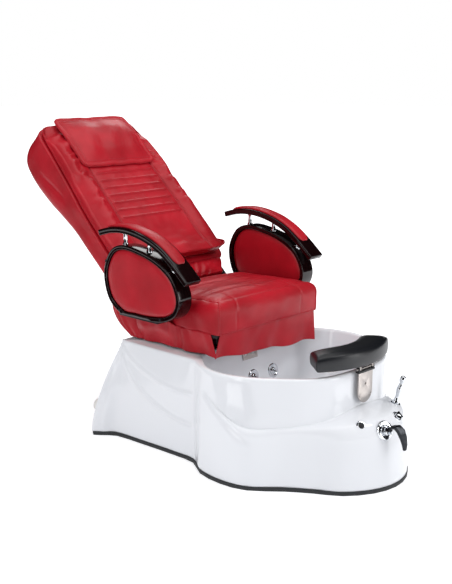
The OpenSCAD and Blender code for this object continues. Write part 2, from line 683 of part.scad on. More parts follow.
spray_socket = 40;
module spray_holder() {
    color("silver") on_console(spray_at) {
        flanged(spray_stem_r, spray_stem_r + 5, 4, spray_r + fit + 1, spray_socket);
        translate([0, 0, -spray_socket - 4]) cylinder(r = spray_stem_r, h = 4 + tiny);
        translate([0, 0, -nut_at]) back_nut(spray_stem_r, nut_t);
    }
}
module spray_handle() {
    l = spray_l;
    r = spray_r;
    color("silver") on_console(spray_at) rotate_extrude() polygon([[0, -spray_socket + 4],
        [r - 1, -spray_socket + 4], [r + 1, -4], [r + 1, 4], [r + 2, 6], [r, 12], [r - 3, 0.25 * l],
        [r - 1, 0.4 * l], [r + 1, 0.52 * l], [r - 1.5, 0.66 * l], [r - 3.5, 0.74 * l],
        [r - 1, 0.8 * l], [r + 1, 0.88 * l], [r - 1, 0.96 * l], [r - 5, l], [0, l + 1]]);
}

// ---- Footrest ----
post_foot_h = pad_top_h - pad_h - 24 - post_l; // lower end of the post
guide_wall = 3;
tee_w = 24;     // flange of the post's T bar
tee_t = 4;
tee_stem = 10;
guide_depth = 2 * guide_wall + tee_t + 2 * slide_gap;
guide_back = -basin_front - gap;
post_y = guide_back - guide_depth - slide_gap; // rear face of the post
post_front = post_y - post_t;
guide_l = post_travel + 28; // the bar stays engaged by 28 at the top of its travel
guide_low = post_foot_h + 12;
module footrest_guide() {
    wide = tee_w + 2 * slide_gap + 2 * guide_wall;
    color("silver") translate([0, guide_back, guide_low]) linear_extrude(guide_l) difference() {
        translate([-wide / 2, -guide_depth]) square([wide, guide_depth]);
        translate([-tee_w / 2 - slide_gap, -guide_depth + guide_wall])
            square([tee_w + 2 * slide_gap, tee_t + 2 * slide_gap]);
        translate([-tee_stem / 2 - slide_gap, -guide_depth - 1])
            square([tee_stem + 2 * slide_gap, guide_wall + 2]);
    }
}
module footrest_post() {
    color([0.72, 0.7, 0.7]) difference() {
        union() {
            translate([0, post_y, post_foot_h + post_w / 2]) rotate([90, 0, 0])
                cylinder(r = post_w / 2, h = post_t);
            translate([-post_w / 2, post_front, post_foot_h + post_w / 2])
                cube([post_w, post_t, post_l - post_w / 2]);
            // T bar that runs in the guide
            translate([-tee_stem / 2, post_y - tiny, guide_low])
                cube([tee_stem, slide_gap + guide_wall + 1 + tiny, guide_l]);
            translate([-tee_w / 2, post_y + 2 * slide_gap + guide_wall, guide_low])
                cube([tee_w, tee_t, guide_l]);
        }
        translate([0, post_front + 3, post_foot_h + 62]) rotate([90, 0, 0]) cylinder(r = 4, h = 10);
        for (s = [-1, 1]) translate([s * (post_w / 2 - 7), post_front + 2, post_foot_h + 24])
            rotate([90, 0, 0]) cylinder(r = 2, h = 10);
    }
}

hinge_h = pad_top_h - pad_h - 12; // height of the footrest's hinge axis
hinge_r = 3;
hinge_y = post_y - 2;
module footrest_hinge() {
    color([0.15, 0.12, 0.11]) {
        difference() {
            union() {
                box([post_w + 10, 16, 6], [0, hinge_y, post_foot_h + post_l + 3]);
                for (s = [-1, 1]) box([6, 12, hinge_h - post_foot_h - post_l + 5],
                    [s * (post_w / 2 + 2), hinge_y, (hinge_h + post_foot_h + post_l + 5) / 2]);
            }
            translate([-100, hinge_y, hinge_h]) rotate([0, 90, 0]) cylinder(r = hinge_r + fit, h = 200);
        }
    }
}

// The pad's plan is a stretch of a ring, hollow side towards the sitter
pad_bow = 42;   // how far the pad's ends come back
pad_r = (pad_l * pad_l / 4 + pad_bow * pad_bow) / (2 * pad_bow);
pad_a = asin(pad_l / 2 / pad_r);
pad_y = -basin_front + 17; // middle of the pad
function on_pad(u, v, d = 0) = let (a = mix(-pad_a, pad_a, u), r = pad_r + mix(-1, 1, v) * (pad_d / 2 - d))
    [r * sin(a), pad_y + pad_r - r * cos(a)];
module footrest_pad() {
    low = pad_top_h - pad_h;
    color([0.1, 0.11, 0.13]) padded(16, 6,
        function(u, v) let (p = on_pad(mix(0.03, 0.97, u), 1 - v, 7),
            c = pow(abs(2 * u - 1), 6) * 7 + pow(abs(2 * v - 1), 4) * 4)
            [p[0], p[1], pad_top_h - c],
        function(u, v) let (p = on_pad(u, 1 - v, 0)) [p[0], p[1], low + 0.45 * pad_h],
        function(u, v) let (p = on_pad(mix(0.01, 0.99, u), 1 - v, 3)) [p[0], p[1], low]);
}
module footrest_plate() {
    low = pad_top_h - pad_h;
    outline = concat([for (k = [0:16]) on_pad(mix(0.08, 0.92, k / 16), 1, 22)],
        [for (k = [16:-1:0]) on_pad(mix(0.08, 0.92, k / 16), 0, 22)]);
    color([0.78, 0.76, 0.76]) {
        translate([0, 0, low - 4]) linear_extrude(4) polygon(outline);
        // hinge lugs and barrel
        for (s = [-1, 1]) box([5, 12, low - hinge_h + 1],
            [s * (post_w / 2 - 4), hinge_y, (low + hinge_h - 3) / 2]);
        translate([-post_w / 2 - 8, hinge_y, hinge_h]) rotate([0, 90, 0])
            cylinder(r = hinge_r, h = post_w + 16);
    }
}

// ---- Seat frame ----
runner_top = rim_h + rail_h + 4;
pan_t = 12;
pan_low = seat_under_h - pan_t;
side_tube_h = 22;
side_front = 30 - seat_front; // ends of the side tubes
side_rear = seat_rear + 28;
cross_ys = [side_front + 12, nut_y, side_rear - 40];
runner_l = 250;
runner_mid = nut_y + 35;
cross_low = runner_top + side_tube_h;
cross_h = pan_low - cross_low;
frame_half = seat_w / 2 - 24;
hinge_plate_x = seat_w / 2 - 10;
hinge_plate_t = 6;
actuator_x = 72;
actuator_h = rim_h + 33;
lever_len = pivot_h - actuator_h;

module seat_carriage() {
    color([0.1, 0.1, 0.11]) difference() {
        union() {
            for (s = [-1, 1]) translate([s * rail_x, 0, 0]) {
                // runner: a foot in the rail, a web and the side tube
                box([rail_w - 2 * rail_wall - 2 * slide_gap, runner_l, 7],
                    [0, runner_mid, rim_h + rail_wall + slide_gap + 3.5]);
                box([rail_slot - 2 * slide_gap, runner_l, runner_top - rim_h - 8],
                    [0, runner_mid, (runner_top + rim_h + 8) / 2]);
                box([30, side_rear - side_front, side_tube_h],
                    [0, (side_rear + side_front) / 2, runner_top + side_tube_h / 2]);
            }
            for (y = cross_ys) box([2 * frame_half, 28, cross_h], [0, y, cross_low + cross_h / 2]);
            // nut block of the slide screw, hung from the middle cross tube
            box([26, 22, cross_low - screw_h + 11], [0, nut_y, (cross_low + screw_h - 9) / 2]);
            for (s = [-1, 1]) {
                // outriggers that carry the hinge plates
                box([rear_skirt_x - skirt_t - rail_x - 2, 30, cross_h],
                    [s * (rear_skirt_x - skirt_t - 2 + rail_x) / 2, side_rear - 15, cross_low + cross_h / 2]);
                translate([s * hinge_plate_x - hinge_plate_t / 2, 0, 0]) rotate([90, 0, 90])
                    linear_extrude(hinge_plate_t) union() {
                        translate([seat_rear + 6, cross_low])
                            square([pivot_y + 22 - seat_rear - 6, pivot_h - cross_low]);
                        translate([pivot_y, pivot_h]) circle(r = 22);
                    }
            }
        }
        translate([0, nut_y - 20, screw_h]) rotate([-90, 0, 0]) cylinder(r = screw_r + fit, h = 40);
        translate([-300, pivot_y, pivot_h]) rotate([0, 90, 0])
            cylinder(r = recline_pin_r + fit, h = 600);
    }
}

bracket_ys = [160, 272];
bracket_w = 34;
bracket_t = 8;
bracket_in = frame_half - 60;
ring_seat_h = seat_under_h + 26;  // flat under each arm ring where its brackets bolt on
upright_x = arm_x - 42;   // outer face of the brackets' uprights
flange_l = 192;           // the long flange that each ring stands on
flange_mid = 222;
ring_in = arm_x - ring_w / 2;
ring_out = arm_x + ring_w / 2;

skirt_x = seat_w / 2;       // outside of the side skirts at their tops
skirt_y = 8 - seat_front;   // outside of the front skirt at its top
module seat_pan() {
    half = skirt_x - skirt_t - 1.3;
    color([0.1, 0.09, 0.09]) difference() {
        translate([-half, skirt_y + skirt_t + 1.4, pan_low])
            cube([2 * half, seat_rear - 7.4 - skirt_y - skirt_t, pan_t]);
        for (s = [-1, 1], y = bracket_ys) translate([s * (bracket_in + 100) - 100 - gap,
            y - bracket_w / 2 - gap, pan_low - 1]) cube([200 + 2 * gap, bracket_w + 2 * gap, bracket_t + 1 + gap]);
    }
}

// Brackets from the seat frame out to the arms
module arm_brackets() {
    color([0.08, 0.08, 0.09]) for (s = [-1, 1]) {
        for (y = bracket_ys) {
            box([upright_x - bracket_in, bracket_w, bracket_t],
                [s * (upright_x + bracket_in) / 2, y, pan_low + bracket_t / 2]);
            box([bracket_t, bracket_w, ring_seat_h - pan_low],
                [s * (upright_x - bracket_t / 2), y, (ring_seat_h + pan_low) / 2]);
        }
        box([ring_out - upright_x, flange_l, bracket_t],
            [s * (ring_out + upright_x - 2 * bracket_t) / 2, flange_mid, ring_seat_h - bracket_t / 2]);
    }
}

// ---- Seat cushion and skirts ----
function seam(x, at, w, d) = d * exp(-pow((x - at) / w, 2));
module seat_cushion() {
    hw2 = seat_w / 2;
    l = seat_rear + seat_front;
    color([0.68, 0.09, 0.13]) padded(20, 14,
        function(u, v) let (s = 2 * u - 1, x = s * (hw2 - 22),
            y = mix(-seat_front + 24, seat_rear - 8, v),
            roll = 5 * pow(1 - v, 10), crown = 14 * (1 - pow(abs(s), 6)) * (1 - pow(2 * v - 1, 8)),
            sewn = seam(abs(x), hw2 * 0.6, 9, 5))
            [x, y, mix(seat_top_h, seat_top_h - 12, v) - roll + crown - sewn],
        function(u, v) let (s = 2 * u - 1) [s * hw2, mix(-seat_front, seat_rear, v),
            mix(seat_under_h + 72, seat_under_h + 56, v)],
        function(u, v) let (s = 2 * u - 1) [s * (hw2 - 7), mix(-seat_front + 8, seat_rear - 7, v),
            seat_under_h]);
}

skirt_top = seat_under_h - 2;
rear_skirt_x = skirt_x + 4;
function fold(t, n, d) = d * sin(360 * n * t);
// One side's skirt: folds deepen towards its hem
module side_skirt() {
    color([0.62, 0.08, 0.12]) difference() {
        cloth(24, 3,
            function(u, v) [skirt_x + v * fold(u, 5, 3.5) - 6 * v, mix(-52, seat_rear - 4, u),
                mix(skirt_top, rim_h + 7 + 2 * sin(700 * u), v)],
            [-skirt_t, 0, 0]);
        for (y = bracket_ys)
            box([60, bracket_w + 2 * gap, 20], [skirt_x, y, pan_low + 10 - gap]);
    }
}
module skirt_left() { side_skirt(); }
module skirt_right() { mirror([1, 0, 0]) side_skirt(); }
module skirt_front() {
    color([0.62, 0.08, 0.12]) cloth(28, 3,
        function(u, v) [mix(-skirt_x + 6, skirt_x - 6, u), skirt_y + v * fold(u, 6, 5) + 6 * v,
            mix(skirt_top, rim_h + mix(4, -30, u) + 4 * sin(900 * u), v)],
        [0, skirt_t, 0]);
}
// The rear skirt hangs round the back of the frame: its side view, and its way round it
rear_side = [[pivot_y + 122, pivot_h + 8], [pivot_y + 110, pivot_h - 36], [pivot_y + 78, pivot_h - 72],
    [pivot_y + 14, rim_h + 8]];
rear_curve = open_curve(rear_side, 2);
rear_ways = [[-1, 0], [-1, 0.45], [-1, 0.86], [-0.94, 1], [-0.62, 1.02], [-0.3, 1.03], [0, 1.03],
    [0.3, 1.03], [0.62, 1.02], [0.94, 1], [1, 0.86], [1, 0.45], [1, 0]];
module skirt_rear() {
    nu = len(rear_ways) - 1;
    nv = len(rear_curve) - 1;
    front = seat_rear + 8;
    color([0.5, 0.06, 0.1]) wrap(nu, nv, rear_skirt_x, front);
}
// Points of the rear skirt, drawn in all round by d
function wrap_point(u, v, w, d, front) = let (g = rear_ways[u], c = rear_curve[v],
    wave = 2.5 * sin(500 * u) * v / len(rear_curve),
    // its middle is drawn up and out, over the rails and the recline drive
    drawn = (abs(g[0]) < 0.7 ? 1 : 0) * ease(v / (len(rear_curve) - 1)))
    [g[0] * (w - d - abs(wave)), mix(front, c[0] - d, g[1]) + 42 * drawn,
        mix(skirt_h(v), c[1], min(1, g[1])) + 18 * drawn];
function skirt_h(v) = mix(pivot_h - 8, rim_h + 8, v / (len(rear_curve) - 1));
module wrap(nu, nv, w, front) {
    ng = (nu + 1) * (nv + 1);
    outer = [for (j = [0:nv], i = [0:nu]) wrap_point(i, j, w, 0, front)];
    inner = [for (j = [0:nv], i = [0:nu]) wrap_point(i, j, w, skirt_t, front)];
    edge = concat([for (i = [0:nu - 1]) i], [for (j = [0:nv - 1]) j * (nu + 1) + nu],
        [for (i = [nu:-1:1]) nv * (nu + 1) + i], [for (j = [nv:-1:1]) j * (nu + 1)]);
    ne = len(edge);
    faces = [for (j = [0:nv - 1], i = [0:nu - 1])
        let (a = j * (nu + 1) + i, b = a + 1, c = a + nu + 2, e = a + nu + 1)
        each [[a, c, b], [a, e, c], [ng + a, ng + b, ng + c], [ng + a, ng + c, ng + e]]];
    rim = [for (k = [0:ne - 1]) let (a = edge[k], b = edge[(k + 1) % ne])
        each [[a, b, ng + b], [a, ng + b, ng + a]]];
    polyhedron(concat(outer, inner), concat(faces, rim));
}

// ---- Arms ----
// Side views of the ring and of the bar above it, drawn from the seat cushion's underside
ring_guide = [for (p = [[295, 264], [354, 234], [387, 158], [364, 70], [296, 24], [230, 22], [160, 23],
    [82, 35], [30, 66], [14, 120], [46, 186], [116, 231], [208, 257]]) [p[0], seat_under_h + p[1]]];
ring_curve = closed_curve(ring_guide, 4);
bar_guide = [for (p = [[408, 304], [340, 321], [258, 324], [168, 307], [93, 275], [30, 231], [-28, 182]])
    [p[0], seat_under_h + p[1]]];
bar_curve = open_curve(bar_guide, 4);
function along(c, k, d) = let (a = c[max(k - 1, 0)], b = c[min(k + 1, len(c) - 1)],
    t = (b - a) / norm(b - a)) c[k] + d * [-t[1], t[0]];
arm_post_ys = [302, 182, 66];
post_sink = 8;
collar_r = arm_post_r + 3;
function ring_top(y) = max([for (k = [0:len(ring_curve) - 1])
    let (a = ring_curve[k], b = ring_curve[(k + 1) % len(ring_curve)])
    (a[0] - y) * (b[0] - y) <= 0 && a[0] != b[0] ? mix(a[1], b[1], (y - a[0]) / (b[0] - a[0])) : 0]);
function bar_under(y) = max([for (k = [0:len(bar_curve) - 2])
    let (a = along(bar_curve, k, bar_t), b = along(bar_curve, k + 1, bar_t))
    (a[0] - y) * (b[0] - y) <= 0 && a[0] != b[0] ? mix(a[1], b[1], (y - a[0]) / (b[0] - a[0])) : 0]);
// Draws a side-view outline (y, z) as a slab across X, from x0 to x1
module slab(x0, x1) {
    translate([x0, 0, 0]) rotate([90, 0, 90]) linear_extrude(x1 - x0) children();
}
arm_bolt_at = [for (p = [[373, 200], [310, 38], [106, 39]]) [p[0], seat_under_h + p[1]]];

module arm_ring() {
    color([0.07, 0.02, 0.02]) difference() {
        slab(ring_in, ring_out) difference() {
            polygon(ring_curve);
            offset(delta = -ring_t) polygon(ring_curve);
        }
        for (y = arm_post_ys) translate([arm_x, y, ring_top(y) - post_sink])
            cylinder(r = collar_r + fit, h = 60);
        box([ring_w + 20, flange_l + 1, 40], [arm_x, flange_mid, ring_seat_h - 20]);
        for (p = arm_bolt_at) translate([ring_out - 2, p[0], p[1]]) rotate([0, 90, 0])
            cylinder(r = 5 + gap, h = 20);
    }
}
panel_curve = [for (p = closed_curve(ring_guide, 3)) [p[0], p[1]]];
function panel_row(d, x) = [for (j = [0:len(panel_curve) - 1])
    let (o = outward(panel_curve, j)) [x, panel_curve[j][0] + d * o[0], panel_curve[j][1] + d * o[1]]];
module arm_panel() {
    d = ring_t + gap;
    color([0.7, 0.1, 0.13]) loft([panel_row(d + 45, ring_out - 2), panel_row(d + 18, ring_out - 4),
        panel_row(d + 5, ring_out - 8), panel_row(d, ring_out - 13), panel_row(d, ring_in + 10),
        panel_row(d + 6, ring_in + 6)]);
}
module arm_bar() {
    n = len(bar_curve);
    color([0.07, 0.02, 0.02]) difference() {
        slab(arm_x - bar_w / 2, arm_x + bar_w / 2) polygon(concat(bar_curve,
            [for (k = [n - 1:-1:0]) along(bar_curve, k, bar_t)]));
        for (y = arm_post_ys) translate([arm_x, y, bar_under(y) - 60]) cylinder(r = collar_r + fit,
            h = 60 + post_sink);
    }
}
module arm_pad() {
    ks = [2:len(bar_curve) - 5];
    w = bar_w / 2 - 9;
    color([0.75, 0.12, 0.15]) slab(arm_x - w, arm_x + w) polygon(concat(
        [for (k = ks) along(bar_curve, k, -5)],
        [for (k = [len(bar_curve) - 5:-1:2]) bar_curve[k]]));
}
module arm_posts() {
    color("silver") for (s = [-1, 1], y = arm_post_ys) translate([s * arm_x, y, 0]) {
        low = ring_top(y) - post_sink;
        high = bar_under(y) + post_sink;
        translate([0, 0, low]) cylinder(r = arm_post_r, h = high - low);
        translate([0, 0, low]) cylinder(r = collar_r, h = post_sink + 6);
        translate([0, 0, high - post_sink - 6]) cylinder(r = collar_r, h = post_sink + 6);
    }
}
module arm_bolts() {
    color([0.8, 0.8, 0.82]) mirrored() for (p = arm_bolt_at)
        translate([ring_out - 2, p[0], p[1]]) rotate([0, 90, 0]) {
            cylinder(r = 5, h = 2);
            translate([0, 0, 2]) cylinder(r1 = 5, r2 = 3.5, h = 1.5);
        }
}
module arm_ring_left() { arm_ring(); }
module arm_ring_right() { mirror([1, 0, 0]) arm_ring(); }
module arm_panel_left() { arm_panel(); }
module arm_panel_right() { mirror([1, 0, 0]) arm_panel(); }
module arm_bar_left() { arm_bar(); }
module arm_bar_right() { mirror([1, 0, 0]) arm_bar(); }
module arm_pad_left() { arm_pad(); }
module arm_pad_right() { mirror([1, 0, 0]) arm_pad(); }

// ---- Back ----
// Places what is drawn in the back's own frame: X across, Y to the rear, Z up along the back
module in_back() {
    translate([0, pivot_y, pivot_h]) rotate([-back_tilt, 0, 0]) children();
}
back_tube_r = 11;
back_tube_x = 190;
back_bottom = 104;
pad_back = -38;      // plane that the cushions lie on
lumbar_back = -24;   // plane that the lumbar cushion lies on
lever_r_end = 11;
frame_top = back_l - 60;

module back_frame() {
    color([0.12, 0.12, 0.13]) in_back() difference() {
        union() {
            for (s = [-1, 1]) {
                translate([s * back_tube_x, 0, 60]) cylinder(r = back_tube_r, h = frame_top - 60);
                // hinge cheek
                translate([s * (hinge_plate_x - hinge_plate_t / 2 - 1 - 3) - 3, 0, 0])
                    rotate([90, 0, 90]) linear_extrude(6) union() {
                        circle(r = 20);
                        translate([-16, 0]) square([32, 92]);
                    }
            }
            for (v = [76, frame_top - 11]) translate([-back_tube_x - 50 * (v < 100 ? 1 : 0), 0, v])
                rotate([0, 90, 0]) cylinder(r = back_tube_r, h = 2 * back_tube_x + 100 * (v < 100 ? 1 : 0));
            // torque tube on the recline axis and the actuator's lever
            translate([-hinge_plate_x + 8, 0, 0]) rotate([0, 90, 0])
                cylinder(r = 13, h = 2 * hinge_plate_x - 16);
            rotate([back_tilt, 0, 0]) {
                translate([actuator_x - 4, -lever_r_end, -lever_len]) cube([8, 2 * lever_r_end, lever_len]);
                translate([actuator_x - 12, 0, -lever_len]) rotate([0, 90, 0]) cylinder(r = 5, h = 24);
                translate([actuator_x - 4, 0, -lever_len]) rotate([0, 90, 0])
                    cylinder(r = lever_r_end, h = 8);
            }
            // plate behind the lumbar cushion
            translate([-150, lumbar_back + 0.1, 64]) cube([300, -lumbar_back - 6, 24]);
            // crosspieces that carry the massage rails, with the screw's bearing blocks
            for (v = [rail_low, rail_high]) {
                translate([-back_tube_x, 4, v - 8]) cube([2 * back_tube_x, 12, 16]);
                translate([-16, screw_back - 12, v - 8]) cube([32, 24, 16]);
            }
        }
        translate([-300, 0, 0]) rotate([0, 90, 0]) cylinder(r = recline_pin_r + fit, h = 600);
        translate([0, screw_back, rail_low - 20]) cylinder(r = screw_r + fit, h = rail_high - rail_low + 40);
    }
}

module recline_pins() {
    color("silver") mirrored() translate([hinge_plate_x - 60, pivot_y, pivot_h]) rotate([0, 90, 0]) {
        cylinder(r = recline_pin_r, h = 60 + hinge_plate_t / 2 + 1);
        translate([0, 0, 60 + hinge_plate_t / 2]) cylinder(r = recline_pin_r + 5, h = 4);
    }
}

actuator_front = 64;
actuator_body_l = 160;
rod_end_y = pivot_y;
module recline_actuator() {
    color([0.16, 0.17, 0.18]) difference() {
        union() {
            translate([actuator_x, actuator_front, actuator_h]) rotate([-90, 0, 0])
                cylinder(r = 14, h = actuator_body_l);
            translate([actuator_x + 10, actuator_front + 20, actuator_h]) rotate([-90, 0, 0])
                cylinder(r = 13, h = 90);
            // strap to the middle cross tube
            box([34, 22, cross_low - actuator_h], [actuator_x, cross_ys[1], (cross_low + actuator_h) / 2]);
        }
        translate([actuator_x, actuator_front + 30, actuator_h]) rotate([-90, 0, 0])
            cylinder(r = 7 + fit, h = actuator_body_l);
    }
}
module actuator_rod() {
    color("silver") difference() {
        union() {
            translate([actuator_x, actuator_front + 70, actuator_h]) rotate([-90, 0, 0])
                cylinder(r = 7, h = rod_end_y - 28 - actuator_front - 70);
            box([30, 12, 20], [actuator_x, rod_end_y - 24, actuator_h]);
            // fork: low where it passes the rear cross tube, tall round the slot
            for (s = [-1, 1]) translate([actuator_x + s * 12.5, rod_end_y, actuator_h]) {
                box([5, 34, 24], [0, -13, 2]);
                box([5, 28, 35], [0, 2, 7.5]);
            }
        }
        // upright slot for the lever's pin
        box([60, 2 * 5 + 4, 25], [actuator_x, rod_end_y, actuator_h + 6.5]);
    }
}

// Half widths and depths along the back
function half_at(v) = mix(back_w / 2, head_w / 2, ease(min(1, max(0, (v - 300) / (back_l - 385)))));
function rear_at(v) = lookup(v, [[80, 34], [220, 38], [360, 48], [back_l - 355, 70], [back_l - 265, 98],
    [back_l - 175, 116], [back_l - 85, 114], [back_l - 30, 84], [back_l, 52]]);
shell_guide = [[0, back_bottom], [back_w / 2 - 60, back_bottom], [back_w / 2 - 12, back_bottom + 14],
    [back_w / 2, back_bottom + 60], [back_w / 2, 260], [half_at(430), 430],
    [half_at(back_l - 215), back_l - 215], [half_at(back_l - 95), back_l - 95], [head_w / 2 - 4, back_l - 40], [head_w / 2 - 34, back_l - 6],
    [head_w / 2 - 100, back_l], [0, back_l]];
shell_outline = whole(half_curve(shell_guide, 2));
shell_centre = [0, back_l - 375];
lip_share = 0.88; // the lip's inner edge, as a share of the outline
function shell_row(f, s, wall) = [for (j = [0:len(shell_outline) - 1])
    let (o = shell_outline[j], w = outward(shell_outline, j),
        p = [mix(shell_centre[0], o[0], f), mix(shell_centre[1], o[1], f)] - wall * w * (f > 0.9 ? 1 : 0),
        d = rear_at(p[1]) - wall) [p[0], mix(pad_back + 0.3, d, s), p[1]]];
module back_shell() {
    color([0.66, 0.08, 0.12]) in_back() difference() {
        // outside, the lip that the cushion lies on, then inside
        loft(concat(
            [for (q = [[0.3, 1], [0.62, 1], [0.85, 1], [0.94, 0.97], [0.985, 0.86], [1, 0.66],
                [1, 0.33], [1, 0], [lip_share, 0], [lip_share, 0.08]]) shell_row(q[0], q[1], 0)],
            [for (q = [[1, 0.08], [1, 0.6], [0.97, 0.92], [0.86, 1], [0.62, 1], [0.3, 1]])
                shell_row(q[0], q[1], back_wall)]));
        for (s = [-1, 1]) translate([s * back_tube_x, 0, back_bottom - 10])
            cylinder(r = back_tube_r + gap, h = back_wall + 30);
    }
}

// Overlay cushion with its sewn channels
cushion_low = 112;
pillow_low = back_l - 249;
function channel(v) = let (k = round((v - channel_start) / channel_pitch))
    k >= 0 && k <= channel_n ? seam(v, channel_start + k * channel_pitch, 4, 8) : 0;
// Rows of the overlay cushion: some plain ones, and five round each sewn channel
channel_rows = concat([for (k = [0:7]) mix(cushion_low, channel_start - 22, k / 7)],
    [for (k = [0:channel_n], d = [-14, -5, 0, 5, 14]) channel_start + k * channel_pitch + d],
    [for (k = [1:6]) mix(channel_start + channel_n * channel_pitch + 16, back_l - 6, k / 6)]);
// Columns across the cushion: closer at the panel's seams and at the edges
cushion_xs = [-1, -0.96, -0.84, -0.7, -0.645, -0.59, -0.35, 0, 0.35, 0.59, 0.645, 0.7, 0.84, 0.96, 1];
// The side wings fade out towards the head and the hips
function wing_at(v) = ease(min(1, max(0, (v - cushion_low) / 140))) * ease(min(1, max(0, (back_l - 35 - v) / 160)));
module back_cushion() {
    nu = len(cushion_xs) - 1;
    nv = len(channel_rows) - 1;
    panel_s = 0.62;
    color([0.7, 0.09, 0.13]) in_back() padded(nu, nv,
        function(u, v) let (s = cushion_xs[round(u * nu)], z = channel_rows[round(v * nv)],
            x = s * (half_at(z) - 20), flat = pow(abs(s), 5),
            centre = abs(s) < panel_s ? 1 : 0, beside = ease(min(1, max(0, (z - pillow_low + 70) / 60))),
            lift = 20 * exp(-pow((z - cushion_low) / 60, 2)) * (1 - 0.3 * s * s))
            [x, pad_back - back_pad_t - lift + 8 * flat + centre * channel(z)
                - seam(abs(s), mix(0.84, 0.94, beside), mix(0.13, 0.09, beside), 17) * wing_at(z)
                + seam(abs(s), 0.645, 0.03, 4) + (12 + 20 * s * s) * ease(max(0, (z - back_l + 125) / 125)),
                mix(cushion_low + 4, back_l - 12, (z - cushion_low) / (back_l - 6 - cushion_low))],
        function(u, v) let (s = cushion_xs[round(u * nu)], z = channel_rows[round(v * nv)])
            [s * (half_at(z) - 14), pad_back - 0.5 * back_pad_t, z],
        function(u, v) let (s = cushion_xs[round(u * nu)], z = channel_rows[round(v * nv)])
            [s * (half_at(z) - 21), pad_back,
                mix(cushion_low + 6, back_l - 10, (z - cushion_low) / (back_l - 6 - cushion_low))]);
}
lumbar_x = back_w / 2 - 46;
lumbar_t = 32;
lumbar_low = 34;
module lumbar_cushion() {
    color([0.66, 0.08, 0.12]) in_back() padded(12, 4,
        function(u, v) let (s = 2 * u - 1)
            [s * (lumbar_x - 8), lumbar_back - lumbar_t - 12 * (1 - pow(abs(s), 4)),
                mix(lumbar_low + 4, back_bottom - 6, v)],
        function(u, v) let (s = 2 * u - 1)
            [s * lumbar_x, lumbar_back - lumbar_t / 2, mix(lumbar_low, back_bottom - 2, v)],
        function(u, v) let (s = 2 * u - 1)
            [s * (lumbar_x - 6), lumbar_back, mix(lumbar_low + 3, back_bottom - 5, v)]);
}
module head_pillow() {
    front = pad_back - back_pad_t;
    color([0.72, 0.1, 0.14]) in_back() padded(14, 10,
        function(u, v) let (s = 2 * u - 1, t = 2 * v - 1, z = mix(pillow_low + 5, back_l + 2, v))
            [s * 170, front - 16 - 12 * (1 - pow(abs(s), 4)) * (1 - pow(abs(t), 4))
                + 13 * ease(max(0, (z - back_l + 115) / 120)), z],
        function(u, v) let (s = 2 * u - 1, z = mix(pillow_low, back_l + 8, v))
            [s * 175, front - 9 + 13 * ease(max(0, (z - back_l + 115) / 120)), z],
        function(u, v) let (s = 2 * u - 1, z = mix(pillow_low + 3, back_l + 4, v))
            [s * 171, front, z]);
}

// ---- Massage drive in the back ----
rail_low = 184;
rail_bar = 12;
mrail_x = massage_rail_spacing / 2;
carriage_low = rail_low + 46;
carriage_l = 70;
rail_high = frame_top - 50;
motor_low = back_bottom + 31;
roller_at = -14;      // the kneading shaft lies this far from the frame's plane
kneading_throw = 3;
screw_back = 12; // the screw's axis lies this far behind the frame's plane
module massage_rails() {
    color("silver") in_back() for (s = [-1, 1])
        translate([s * mrail_x - rail_bar / 2, 4 - rail_bar, rail_low - 8])
            cube([rail_bar, rail_bar, rail_high - rail_low + 16]);
}
module massage_carriage() {
    color([0.2, 0.22, 0.25]) in_back() difference() {
        translate([-mrail_x - 18, roller_at - 8, carriage_low])
            cube([2 * mrail_x + 36, screw_back + 10 - roller_at + 8, carriage_l]);
        for (s = [-1, 1]) translate([s * mrail_x - rail_bar / 2 - slide_gap, 4 - rail_bar - slide_gap,
            carriage_low - 1]) cube([rail_bar + 2 * slide_gap, rail_bar + 2 * slide_gap, carriage_l + 2]);
        translate([0, screw_back, carriage_low - 1]) cylinder(r = screw_r + fit, h = carriage_l + 2);
        // bay for the kneading shaft
        translate([-mrail_x + 12, roller_at - 9, carriage_low + 10])
            cube([2 * mrail_x - 24, roller_r + 10, carriage_l - 20]);
        translate([-mrail_x - 30, roller_at, carriage_low + carriage_l / 2]) rotate([0, 90, 0])
            cylinder(r = 5 + fit, h = 2 * mrail_x + 60);
    }
}
module massage_rollers() {
    color([0.9, 0.88, 0.82]) in_back() translate([0, roller_at, carriage_low + carriage_l / 2]) {
        translate([-mrail_x + 2, 0, 0]) rotate([0, 90, 0]) cylinder(r = 5, h = 2 * mrail_x - 4);
        for (s = [-1, 1]) translate([s * 36 - 9, 0, s * kneading_throw]) rotate([0, 90, 0])
            cylinder(r = roller_r - kneading_throw, h = 18);
    }
}
module massage_screw() {
    color("silver") in_back() translate([0, screw_back, rail_low - 20])
        cylinder(r = screw_r, h = rail_high - rail_low + 30);
}
module massage_motor() {
    color([0.25, 0.26, 0.28]) in_back() difference() {
        translate([-26, screw_back - 26, motor_low]) cube([52, 38, rail_low - 8 - motor_low]);
        translate([0, screw_back, rail_low - 24]) cylinder(r = screw_r + fit, h = 60);
    }
}

